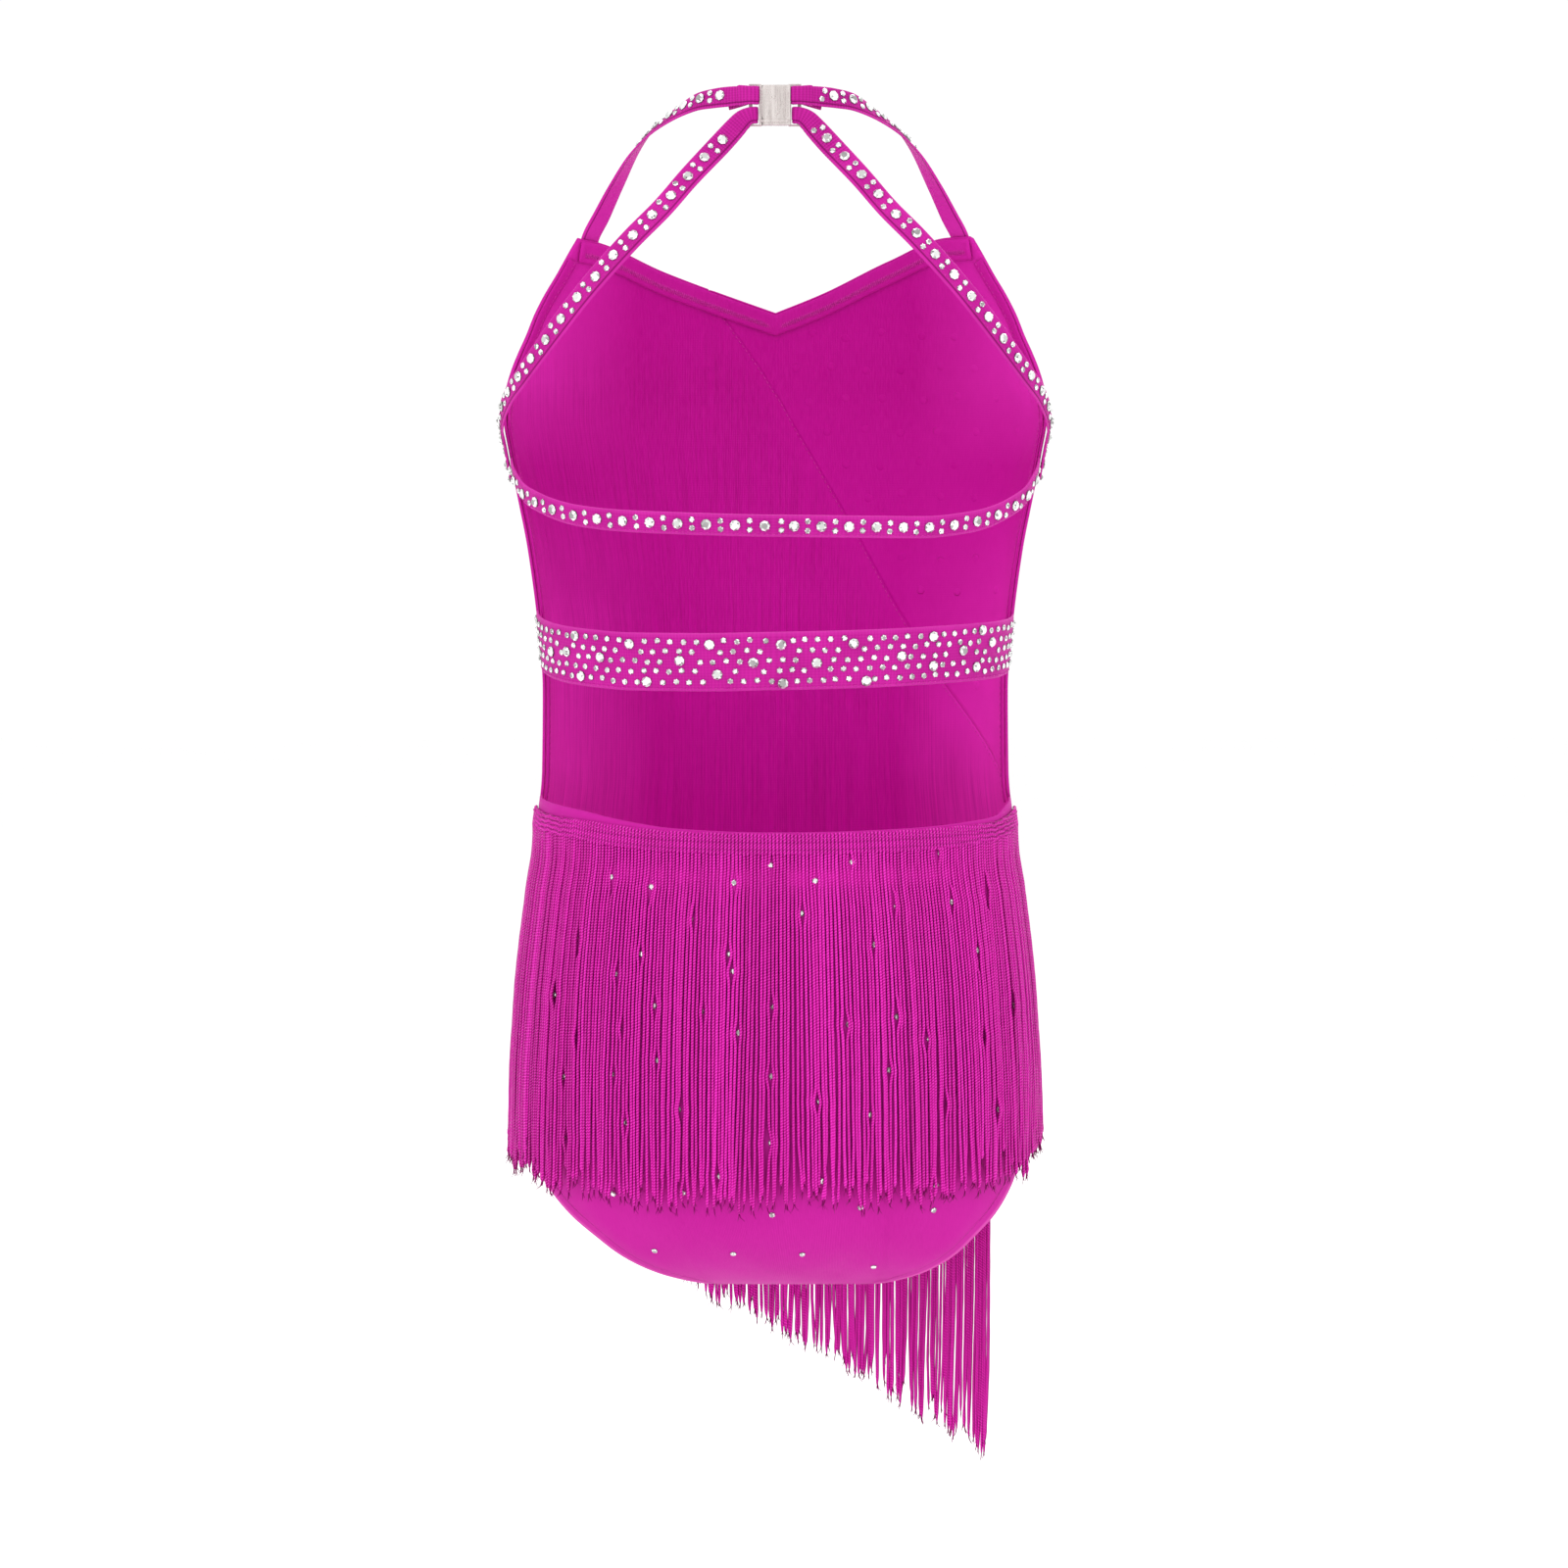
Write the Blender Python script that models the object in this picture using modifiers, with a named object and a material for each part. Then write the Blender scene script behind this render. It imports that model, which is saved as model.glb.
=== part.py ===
"""A girls' latin dance leotard with fringe, in the worn, hollow form and with no wearer.

The origin is where the clasp rests on the nape. +Z is up, +X is the wearer's right, -Y is the back of the
garment and +Y is its front. Tables are in millimetres; MM turns them into Blender's metres.
"""
import math
import random
from collections import namedtuple

import bmesh
import bpy
from mathutils import Vector

MM = 0.001
BACK, FRONT = -1, 1

# Thicknesses and clearances.
GAP = 0.3
CLOTH = 1.2
BAND_THICKNESS = 1.3
STRAP_THICKNESS = 1.1
BINDING_THICKNESS = 0.8
LAID_ON = CLOTH + GAP

# The figure that fills the garment: a rounded section at each height.
ROUNDNESS = 2.3
Section = namedtuple("Section", "height half_width back front")
FIGURE = [
    Section(-40, 112.0, -24.0, 92.0),
    Section(-70, 119.0, -32.0, 106.0),
    Section(-100, 122.8, -37.0, 118.0),
    Section(-136, 123.2, -40.0, 126.0),
    Section(-155, 120.4, -40.0, 127.0),
    Section(-172, 117.2, -39.0, 127.0),
    Section(-199, 112.0, -36.5, 125.0),
    Section(-235, 107.4, -32.0, 121.0),
    Section(-262, 105.4, -28.5, 119.0),
    Section(-300, 105.8, -27.0, 118.5),
    Section(-330, 109.0, -31.0, 120.0),
    Section(-365, 112.5, -39.0, 122.0),
    Section(-400, 115.0, -46.0, 123.0),
    Section(-435, 115.5, -49.0, 122.0),
    Section(-470, 112.0, -49.0, 118.0),
]

# Below this the brief rounds under to the crotch seam.
SEAT_TOP = 470.0
SEAT_DEPTH = 64.0
SEAT_ARC = 125.0
CROTCH_Y = 45.0
CROTCH_HALF_SECTION = 80.0
CROTCH_SHIFT = 8.0
CROTCH = SEAT_TOP + SEAT_ARC

# Edges, as an angle round from a half's centre line in degrees and a distance down the cloth.
Edge = namedtuple("Edge", "angle down")
ARMHOLE = [
    Edge(49.5, 55), Edge(55.1, 71), Edge(59.3, 80.6), Edge(63.2, 90), Edge(66.7, 99), Edge(72, 108),
    Edge(78, 117), Edge(84, 126), Edge(90, 140),
]
FRONT_LEG = [
    Edge(21.2, CROTCH), Edge(22.2, 582), Edge(24.5, 564), Edge(28, 546), Edge(35, 522), Edge(45, 498),
    Edge(60, 472), Edge(75, 450), Edge(90, 432),
]
BACK_LEG = [
    Edge(21.2, CROTCH), Edge(22.6, 582), Edge(26.2, 568), Edge(34.4, 552), Edge(43.9, 533), Edge(50.5, 518),
    Edge(57.7, 506), Edge(64.7, 494), Edge(71.8, 482), Edge(81, 458), Edge(90, 432),
]
BRIEF_TOP = [
    Edge(-90, 311.2), Edge(-69, 313.6), Edge(-51, 316.2), Edge(-36, 320), Edge(-20, 323.4), Edge(0, 324.8),
    Edge(30, 323.4), Edge(51, 321.2), Edge(65, 319.4), Edge(75, 315.5), Edge(90, 312),
]
UPPER_BAND = [
    Edge(-90, 161), Edge(-84, 165.2), Edge(-78.6, 169.1), Edge(-73, 173.3), Edge(-63.7, 177.4), Edge(-55.5, 180.8),
    Edge(-47, 183.4), Edge(-34, 185.6), Edge(-14, 187.2), Edge(0, 188), Edge(31.6, 188.6), Edge(47, 186.2),
    Edge(55.5, 183.4), Edge(63.7, 179.4), Edge(73, 174.5), Edge(78.6, 169.6), Edge(84, 165.5), Edge(90, 161),
]
UPPER_BAND_HEIGHT = 9.2
WAIST_BAND = [
    Edge(-90, 239), Edge(-75, 242.8), Edge(-60, 245.6), Edge(-47, 247.2), Edge(-34, 248.4), Edge(-14, 248.6),
    Edge(0, 248), Edge(20, 247), Edge(45, 245.2), Edge(70, 243.4), Edge(90, 240.8),
]
WAIST_BAND_HEIGHT = 25.4

# The neckline and the seam, as distances across from the centre line and down.
Line = namedtuple("Line", "across down")
NECKLINE_RIGHT = [Line(0, 88.2), Line(21.3, 79.4), Line(51.7, 64.8), Line(79.5, 54.6), Line(91, 54.2)]
NECKLINE_LEFT = [Line(0, 88.2), Line(50.3, 69.8), Line(81.7, 56.8), Line(91, 55.2)]
NECK_CORNER = ARMHOLE[0]
NECK_BINDING_HEIGHT = 9.6
NECK_BINDING_INSET = 0.7
SIDE_BINDING_WIDTH = 5.0
SIDE_BINDING_INSET = 1.1
SIDE_BINDING_END = 314.0
SIDE_BINDING_ANGLES = (52.5, 55.1, 59.3, 63.2, 66.7, 69.5, 72, 75, 78, 81, 84, 87.5, 90)

# The diagonal seam of the front, from its top to near the right side.
SEAM = [
    Line(-32, 77), Line(-6.5, 114), Line(9, 140), Line(27, 171), Line(40, 194), Line(58, 227), Line(80, 263),
    Line(104, 302),
]
SEAM_SIDE_END = 312.0
SEAM_CLEARANCE = 0.3
SEAM_TIP = 1.5

# Fringe: where its heading is sewn, and how far out its strands hang.
STRAND_WIDTH = 1.4
HEADING_HEIGHT = 8.0
HEADING_THICKNESS = 1.8
BACK_STRANDS = 140
FRONT_STRANDS = 105
Heading = namedtuple("Heading", "angle down strand_length")
BACK_HEADING = [
    Heading(-89, 316.2, 154.5), Heading(-69, 318.6, 157.5), Heading(-51, 320.8, 159), Heading(-36, 323.4, 159.5),
    Heading(-20, 325.4, 159.5), Heading(0, 326.2, 159.5), Heading(30, 325, 159), Heading(51, 323.2, 158),
    Heading(65, 321.4, 155), Heading(77, 318.6, 150), Heading(89, 316.5, 147),
]
FRONT_HEADING = [
    Heading(-88, 318, 140), Heading(-65, 330, 146), Heading(-36, 356, 153), Heading(-17, 384, 157),
    Heading(0, 404, 160), Heading(22.5, 430, 164), Heading(53.5, 452, 167),
]
UNEVENNESS = 4.0
SWAY = 0.3
FALL_BLEND = 28.0
FALL = [
    Section(-325, 111.0, -35.2, 124.6),
    Section(-343, 113.2, -39.0, 125.6),
    Section(-361, 115.4, -42.8, 126.4),
    Section(-379, 117.6, -47.0, 127.2),
    Section(-397, 119.4, -50.4, 127.8),
    Section(-415, 120.6, -52.4, 128.2),
    Section(-433, 121.7, -53.6, 128.4),
    Section(-460, 122.4, -54.4, 128.4),
    Section(-480, 122.6, -54.8, 128.2),
    Section(-540, 122.2, -55.4, 127.5),
    Section(-630, 120.5, -56.0, 127.0),
]

# Straps on the wearer's right, from the folded tail round the clasp's bar to the sewn end.
Strap = namedtuple("Strap", "x y z face_x face_y face_z width")
BACK_STRAP = [
    Strap(20.5, -0.9, -13.4, 0, 1, 0, 9.0),
    Strap(16.0, -0.6, -8.6, 0, 1, 0, 8.2),
    Strap(11.5, -0.55, -4.9, 0, 1, 0, 7.4),
    Strap(9.25, -1.15, -4.4, -0.7, 0.7, 0, 7.4),
    Strap(8.55, -2.5, -4.4, -1, 0, 0, 7.4),
    Strap(9.25, -3.85, -4.4, -0.7, -0.7, 0, 7.4),
    Strap(11.5, -4.5, -4.8, 0, -1, 0, 7.6),
    Strap(14.5, -4.2, -6.6, 0, -1, 0, 8.8),
    Strap(18.0, -4.4, -10.4, 0.05, -1, 0.05, 9.8),
    Strap(25.2, -7.5, -18.5, 0.1, -0.98, 0.15, 10.4),
    Strap(38.1, -16.0, -32.8, 0.2, -0.95, 0.22, 10.4),
    Strap(50.1, -22.7, -47.1, 0.25, -0.94, 0.24, 10.4),
]
BACK_STRAP_ON_BODY = [
    Edge(29.9, 62.6), Edge(39.8, 82.7), Edge(49.9, 101.8), Edge(62.4, 119.7), Edge(72.5, 129.8),
    Edge(83, 140), Edge(90, 152), Edge(90, 166),
]
BACK_STRAP_WIDTH = 10.4
HALTER_STRAP = [
    Strap(21.0, 2.2, 2.5, -0.5, 0.85, 0, 8.8),
    Strap(16.5, 0.0, 3.3, -0.35, 0.94, 0, 8.2),
    Strap(11.5, -0.55, 4.4, 0, 1, 0, 7.4),
    Strap(9.25, -1.15, 4.4, -0.7, 0.7, 0, 7.4),
    Strap(8.55, -2.5, 4.4, -1, 0, 0, 7.4),
    Strap(9.25, -3.85, 4.4, -0.7, -0.7, 0, 7.4),
    Strap(11.5, -4.5, 4.4, 0, -1, 0, 7.4),
    Strap(15.5, -3.6, 4.3, 0.25, -0.96, 0.05, 8.4),
    Strap(20.0, -1.8, 4.0, 0.3, -0.94, 0.15, 9.2),
    Strap(26.9, 1.5, 3.5, 0.33, -0.9, 0.3, 9.6),
    Strap(35.4, 7.5, 2.2, 0.4, -0.8, 0.45, 9.6),
    Strap(44.7, 17.0, -1.9, 0.55, -0.5, 0.65, 9.6),
    Strap(55.4, 31.0, -8.5, 0.68, -0.2, 0.7, 9.4),
    Strap(64.5, 46.0, -17.8, 0.74, 0.33, 0.58, 9.4),
    Strap(72.9, 63.0, -31.0, 0.58, 0.72, 0.36, 9.4),
    Strap(80.4, 78.0, -44.4, 0.44, 0.86, 0.26, 9.4),
]
HALTER_END = [Edge(44.4, 56.0), Edge(44.0, 67.0)]
HALTER_WIDTH = 9.4

# The clear clasp: two halves, each a bar for the straps and a tongue that laps the other half.
CLASP_HEIGHT = 18.8
CLASP_PLATE_WIDTH = 1.2
CLASP_SLOT_START = 7.2
CLASP_SLOT_END = 10.1
CLASP_BAR_END = 11.7
CLASP_SLOT_HEIGHT = 17.2
CLASP_FRAME_Y = -2.5
CLASP_FRAME_THICKNESS = 2.0
TONGUE_THICKNESS = 1.7
TONGUE_HEIGHT = 18.0
TONGUE_Y = {FRONT: -1.35, BACK: -3.65}

Colour = namedtuple("Colour", "red green blue roughness alpha")
CLOTH_COLOUR = Colour(0.62, 0.02, 0.33, 0.6, 1.0)
STRAP_COLOUR = Colour(0.66, 0.03, 0.37, 0.5, 1.0)
FRINGE_COLOUR = Colour(0.6, 0.02, 0.33, 0.45, 1.0)
CLASP_COLOUR = Colour(0.8, 0.78, 0.77, 0.15, 0.5)


def interpolate(knots, values, at):
    """A smooth curve through the values, level past its ends."""
    if at <= knots[0]:
        return values[0]
    if at >= knots[-1]:
        return values[-1]
    i = max(k for k in range(len(knots) - 1) if knots[k] <= at)
    step = knots[i + 1] - knots[i]
    rise = (values[i + 1] - values[i]) / step

    def slope(k):
        if k == 0 or k == len(knots) - 1:
            return rise
        before = (values[k] - values[k - 1]) / (knots[k] - knots[k - 1])
        after = (values[k + 1] - values[k]) / (knots[k + 1] - knots[k])
        return 0.0 if before * after <= 0 else 2 * before * after / (before + after)

    t = (at - knots[i]) / step
    return (
        values[i] * (1 + 2 * t) * (1 - t) ** 2
        + slope(i) * step * t * (1 - t) ** 2
        + values[i + 1] * t * t * (3 - 2 * t)
        + slope(i + 1) * step * t * t * (t - 1)
    )


def section_at(table, height):
    """The section of a table at a height; its rows run from the top down."""
    heights = [-row.height for row in table]
    return Section(
        height,
        *(interpolate(heights, [row[k] for row in table], -height) for k in (1, 2, 3)),
    )


def edge_at(table, angle):
    """How far down an edge is at an angle; a table that starts at or above 0 is the same on both sides."""
    angles = [row.angle for row in table]
    return interpolate(angles, [row.down for row in table], angle if angles[0] < 0 else abs(angle))


def figure_section(down):
    """(section, sideways shift) of the figure at a distance down the cloth."""
    if down <= SEAT_TOP:
        return section_at(FIGURE, -down), 0.0
    top = section_at(FIGURE, -SEAT_TOP)
    turn = min((down - SEAT_TOP) / SEAT_ARC, 1.0) * math.pi / 2
    level = math.cos(turn)
    section = Section(
        -SEAT_TOP - SEAT_DEPTH * math.sin(turn),
        CROTCH_HALF_SECTION + (top.half_width - CROTCH_HALF_SECTION) * level,
        CROTCH_Y + (top.back - CROTCH_Y) * level,
        CROTCH_Y + (top.front - CROTCH_Y) * level,
    )
    return section, CROTCH_SHIFT * math.sin(turn)


def rounded(value):
    """A sine or cosine bent so that the section is rounder at its corners than an ellipse."""
    return math.copysign(abs(value) ** (2 / ROUNDNESS), value)


def on_section(section, angle, half):
    """The point of a section at an angle from the centre line of its back or front half."""
    turn = math.radians(angle)
    middle = (section.back + section.front) / 2
    depth = (section.front - section.back) / 2
    return Vector((
        section.half_width * rounded(math.sin(turn)),
        middle + half * (GAP / 2 + depth * rounded(math.cos(turn))),
        section.height,
    ))


def on_figure(angle, down, half):
    section, shift = figure_section(down)
    return on_section(section, angle, half) + Vector((shift, 0, 0))


def outward(angle, down, half):
    """The figure's outward direction at a place on one half."""
    across = on_figure(angle + 0.5, down, half) - on_figure(angle - 0.5, down, half)
    below = on_figure(angle, min(down + 0.5, CROTCH), half) - on_figure(angle, down - 0.5, half)
    normal = across.cross(below) if half == FRONT else below.cross(across)
    return normal.normalized()


def on_cloth(angle, down, half, lift=0.0):
    """A point of the garment, lifted off the figure by a distance in millimetres."""
    return on_figure(angle, down, half) + outward(angle, down, half) * lift


def angle_at(across, down):
    """The angle at which the figure is this far from the centre line."""
    section, shift = figure_section(down)
    share = max(-1.0, min(1.0, (across - shift) / section.half_width))
    return math.degrees(math.asin(math.copysign(abs(share) ** (ROUNDNESS / 2), share)))


def front_top(angle):
    """The front's top edge: a V neckline between the corners, and the armholes beyond them."""
    if abs(angle) >= NECK_CORNER.angle:
        return edge_at(ARMHOLE, angle)
    line = NECKLINE_RIGHT if angle > 0 else NECKLINE_LEFT
    across = abs(on_figure(angle, NECK_CORNER.down, FRONT).x)
    return interpolate([row.across for row in line], [row.down for row in line], across)


SEAM_ANGLES = [angle_at(row.across, row.down) for row in SEAM] + [90.0]
SEAM_DOWNS = [row.down for row in SEAM] + [SEAM_SIDE_END]
SEAM_START = SEAM_ANGLES[0] + 0.3


def seam_at(angle):
    return interpolate(SEAM_ANGLES, SEAM_DOWNS, angle)


def material(name, colour):
    made = bpy.data.materials.new(name)
    made.use_nodes = True
    shader = made.node_tree.nodes["Principled BSDF"]
    shader.inputs["Base Color"].default_value = (colour.red, colour.green, colour.blue, 1)
    shader.inputs["Roughness"].default_value = colour.roughness
    shader.inputs["Alpha"].default_value = colour.alpha
    return made


def object_from(name, mesh, finish):
    made = bpy.data.objects.new(name, mesh)
    mesh.materials.append(finish)
    bpy.data.collections["Leotard"].objects.link(made)
    mesh.shade_smooth()
    return made


def sheet(name, columns, rows, place, thickness, finish, inside_out=False, centred=False):
    """A grid of cells whose points place(column, row) gives, both from 0 to 1, thickened to a wall."""
    shape = bmesh.new()
    bmesh.ops.create_grid(shape, x_segments=columns, y_segments=rows, size=1)
    for vertex in shape.verts:
        vertex.co = place((vertex.co.x + 1) / 2, (vertex.co.y + 1) / 2) * MM
    if inside_out:
        bmesh.ops.reverse_faces(shape, faces=shape.faces)
    mesh = bpy.data.meshes.new(name)
    shape.to_mesh(mesh)
    shape.free()
    made = object_from(name, mesh, finish)
    wall = made.modifiers.new("Wall", "SOLIDIFY")
    wall.thickness = thickness * MM
    wall.offset = 0 if centred else 1
    return made


def spread(stops, share):
    """A value between stops, which get equal shares."""
    place = min(max(share, 0.0), 1.0) * (len(stops) - 1)
    i = min(int(place + 1e-9), len(stops) - 2)
    return stops[i] + (stops[i + 1] - stops[i]) * (place - i)


def even_stops(start, end, count, fixed=()):
    """Angles from start to end, spaced about evenly, that include the fixed ones."""
    marks = [start, *sorted(a for a in fixed if start < a < end), end]
    stops = [start]
    for low, high in zip(marks, marks[1:]):
        parts = max(1, round(count * (high - low) / (end - start)))
        stops += [low + (high - low) * k / parts for k in range(1, parts + 1)]
    return stops


def panel(name, half, stops, top, bottom, rows, finish, lift=0.0, thickness=CLOTH, inward=False):
    """A piece of the garment between a top and a bottom edge, over the given angles."""

    def place(column, row):
        angle = spread(stops, column)
        high, low = top(angle), bottom(angle)
        return on_cloth(angle, low + (high - low) * row, half, lift)

    return sheet(name, len(stops) - 1, rows, place, thickness, finish, inside_out=(half == FRONT) != inward)


def smooth_path(rows, samples):
    """Rows of numbers, joined by a smooth curve with some samples to each stretch."""
    path = []
    for i in range(len(rows) - 1):
        before, here = rows[max(i - 1, 0)], rows[i]
        there, after = rows[i + 1], rows[min(i + 2, len(rows) - 1)]
        for k in range(samples):
            t = k / samples
            path.append([
                0.5 * (2 * b + (c - a) * t + (2 * a - 5 * b + 4 * c - d) * t * t
                       + (3 * b - a - 3 * c + d) * t ** 3)
                for a, b, c, d in zip(before, here, there, after)
            ])
    return path + [list(rows[-1])]


def strap(name, rows, side, finish, samples=2):
    """A flat strap along its rows, mirrored where side is -1."""
    path = smooth_path([tuple(row) for row in rows], samples)
    centres = [Vector(row[0:3]) for row in path]

    def place(column, row):
        i = round(row * (len(path) - 1))
        ahead = (centres[min(i + 1, len(path) - 1)] - centres[max(i - 1, 0)]).normalized()
        across = ahead.cross(Vector(path[i][3:6])).normalized()
        point = centres[i] + across * (column - 0.5) * path[i][6]
        return Vector((point.x * side, point.y, point.z))

    return sheet(name, 1, len(path) - 1, place, STRAP_THICKNESS, finish, inside_out=side < 0, centred=True)


def strap_rows_on(edges, half, lift, width):
    """Strap rows that lie on the garment at these places."""
    rows = []
    for edge in edges:
        point = on_cloth(edge.angle, edge.down, half, lift)
        rows.append(Strap(*point, *outward(edge.angle, edge.down, half), width))
    return rows


def side_binding(name, side, finish):
    """The turned elastic inside the armhole and side edge, from the neck corner to the brief."""
    edges = [Edge(a, edge_at(ARMHOLE, a)) for a in SIDE_BINDING_ANGLES]
    start = ARMHOLE[-1].down
    edges += [Edge(90, start + (SIDE_BINDING_END - start) * k / 9) for k in range(1, 10)]

    def place(column, row):
        i = round(row * (len(edges) - 1))
        near, far = edges[max(i - 1, 0)], edges[min(i + 1, len(edges) - 1)]
        ahead = on_cloth(far.angle, far.down, FRONT) - on_cloth(near.angle, near.down, FRONT)
        inward = outward(edges[i].angle, edges[i].down, FRONT).cross(ahead).normalized()
        point = on_cloth(edges[i].angle, edges[i].down, FRONT)
        reach = point + inward * (column * SIDE_BINDING_WIDTH + GAP)
        down = -reach.z
        angle = angle_at(reach.x, down)
        if edges[i].angle > 84:
            section, _ = figure_section(down)
            middle, depth = (section.back + section.front) / 2, (section.front - section.back) / 2
            share = max(0.0, (reach.y - middle - GAP / 2) / depth)
            angle = math.degrees(math.acos(min(1.0, share ** (ROUNDNESS / 2))))
        laid = on_cloth(angle, down, FRONT, -SIDE_BINDING_INSET)
        return Vector((laid.x * side, laid.y, laid.z))

    return sheet(name, 2, len(edges) - 1, place, BINDING_THICKNESS, finish, inside_out=side < 0)


def heading_at(table, angle):
    """(down, strand length) of a fringe's heading at an angle."""
    angles = [row.angle for row in table]
    return tuple(interpolate(angles, [row[k] for row in table], angle) for k in (1, 2))


def strand_angles(table, half, count):
    """Cell edges of a heading: angles that part it into equal strands with a gap each side."""
    start, end = table[0].angle, table[-1].angle
    steps = 400
    angles = [start + (end - start) * k / steps for k in range(steps + 1)]
    points = [on_cloth(a, heading_at(table, a)[0], half, LAID_ON) for a in angles]
    lengths = [0.0]
    for a, b in zip(points, points[1:]):
        lengths.append(lengths[-1] + (b - a).length)
    pitch = lengths[-1] / count
    margin = (pitch - STRAND_WIDTH) / 2
    marks = []
    for k in range(count):
        marks += [k * pitch + margin, (k + 1) * pitch - margin]
    marks = [0.0, *marks, lengths[-1]]
    found, i = [], 0
    for mark in marks:
        while i < steps - 1 and lengths[i + 1] < mark:
            i += 1
        share = (mark - lengths[i]) / (lengths[i + 1] - lengths[i])
        found.append(angles[i] + (angles[i + 1] - angles[i]) * share)
    return found


def strand_ring(root, angle, half, drop, sway):
    """Four corners across a strand, at a distance below its root."""
    height = root.z - drop
    fallen = on_section(section_at(FALL, height), angle, half)
    blend = min(drop / FALL_BLEND, 1.0)
    blend = blend * blend * (3 - 2 * blend)
    centre = Vector((
        root.x + (fallen.x - root.x) * blend,
        root.y + (fallen.y - root.y) * blend,
        height,
    ))
    across = on_section(section_at(FALL, height), angle + 0.5, half)
    across = (across - on_section(section_at(FALL, height), angle - 0.5, half)).normalized()
    out = across.cross(Vector((0, 0, 1))) * -half
    centre += across * sway
    reach = STRAND_WIDTH / 2
    return [centre - out * reach - across * reach, centre + out * reach - across * reach,
            centre + out * reach + across * reach, centre - out * reach + across * reach]


def fringe(name, half, table, count, drops, seed, finish):
    """A woven heading with its strands: each grows from one cell of the heading's lower face."""
    draw = random.Random(seed)
    marks = strand_angles(table, half, count)
    shape = bmesh.new()

    def corners(angle):
        high = heading_at(table, angle)[0]
        low = high + HEADING_HEIGHT
        return [shape.verts.new(on_cloth(angle, down, half, lift) * MM) for down, lift in (
            (low, LAID_ON), (low, LAID_ON + HEADING_THICKNESS),
            (high, LAID_ON + HEADING_THICKNESS), (high, LAID_ON))]

    rings = [corners(angle) for angle in marks]
    shape.faces.new(rings[0])
    shape.faces.new(rings[-1][::-1])
    for i, (one, two) in enumerate(zip(rings, rings[1:])):
        for a, b in ((1, 2), (2, 3), (3, 0)):
            shape.faces.new((one[a], one[b], two[b], two[a]))
        ring = [one[0], one[1], two[1], two[0]]
        if i % 2:
            root = sum((v.co for v in ring), Vector()) / 4 / MM
            angle = (marks[i] + marks[i + 1]) / 2
            reach = heading_at(table, angle)[1] + draw.uniform(-UNEVENNESS, UNEVENNESS)
            sway = draw.uniform(-SWAY, SWAY)
            for share in drops:
                places = strand_ring(root, angle, half, reach * share, sway * share)
                below = [shape.verts.new(p * MM) for p in places]
                for k in range(4):
                    shape.faces.new((ring[k], ring[(k + 1) % 4], below[(k + 1) % 4], below[k]))
                ring = below
        shape.faces.new(ring)
    bmesh.ops.recalc_face_normals(shape, faces=shape.faces)
    mesh = bpy.data.meshes.new(name)
    shape.to_mesh(mesh)
    shape.free()
    return object_from(name, mesh, finish)


def block(name, side, x_range, y_range, height, collection):
    """A box on one side of the centre line, in millimetres, centred in height."""
    bpy.ops.mesh.primitive_cube_add(size=1)
    made = bpy.context.object
    made.name = name
    low = Vector((min(x * side for x in x_range), min(y_range), -height / 2))
    high = Vector((max(x * side for x in x_range), max(y_range), height / 2))
    for vertex in made.data.vertices:
        vertex.co = ((low + high) / 2 + vertex.co * (high - low)) * MM
    for held_in in list(made.users_collection):
        held_in.objects.unlink(made)
    bpy.data.collections[collection].objects.link(made)
    return made


def clasp_half(name, side, layer, finish):
    """One half of the clasp on one side: a slotted frame, and a tongue in the inner or outer layer."""
    plate_edge = CLASP_SLOT_START - CLASP_PLATE_WIDTH
    frame_y = (CLASP_FRAME_Y - CLASP_FRAME_THICKNESS / 2, CLASP_FRAME_Y + CLASP_FRAME_THICKNESS / 2)
    tongue_y = (TONGUE_Y[layer] - TONGUE_THICKNESS / 2, TONGUE_Y[layer] + TONGUE_THICKNESS / 2)
    frame = block(name, side, (plate_edge, CLASP_BAR_END), frame_y, CLASP_HEIGHT, "Leotard")
    slot = block(name + "_slot", side, (CLASP_SLOT_START, CLASP_SLOT_END),
                 (frame_y[0] - 1, frame_y[1] + 1), CLASP_SLOT_HEIGHT, "Cutters")
    tongue = block(name + "_tongue", side, (CLASP_SLOT_START - 0.4, 2 * GAP - plate_edge), tongue_y,
                   TONGUE_HEIGHT, "Cutters")
    for helper, operation in ((slot, "DIFFERENCE"), (tongue, "UNION")):
        helper.hide_render = True
        helper.display_type = "WIRE"
        cut = frame.modifiers.new(operation.title(), "BOOLEAN")
        cut.operation = operation
        cut.object = helper
    frame.data.materials.append(finish)


def build_front(cloth):
    """Two front pieces, which meet on the diagonal seam."""
    neck_marks = (-NECK_CORNER.angle, 0.0, NECK_CORNER.angle)
    side_marks = (-85.5, -80.0, 80.0, 85.5)
    leg_marks = [side * edge.angle for side in (-1, 1) for edge in FRONT_LEG[:5]]
    upper_stops = even_stops(SEAM_START + SEAM_TIP, 90.0, 18, neck_marks)
    panel("front_upper_right", FRONT, upper_stops, front_top,
          lambda a: seam_at(a) - SEAM_CLEARANCE, 9, cloth)

    def main_top(angle):
        return front_top(angle) if angle <= SEAM_START else seam_at(angle) + SEAM_CLEARANCE

    def leg(angle):
        return CROTCH if abs(angle) <= FRONT_LEG[0].angle else edge_at(FRONT_LEG, angle)

    seam_marks = (SEAM_START, SEAM_START + SEAM_TIP)
    main_stops = even_stops(-90.0, 90.0, 30, (*neck_marks, *leg_marks, *side_marks, *seam_marks))
    panel("front_main", FRONT, main_stops, main_top, leg, 20, cloth)


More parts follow.
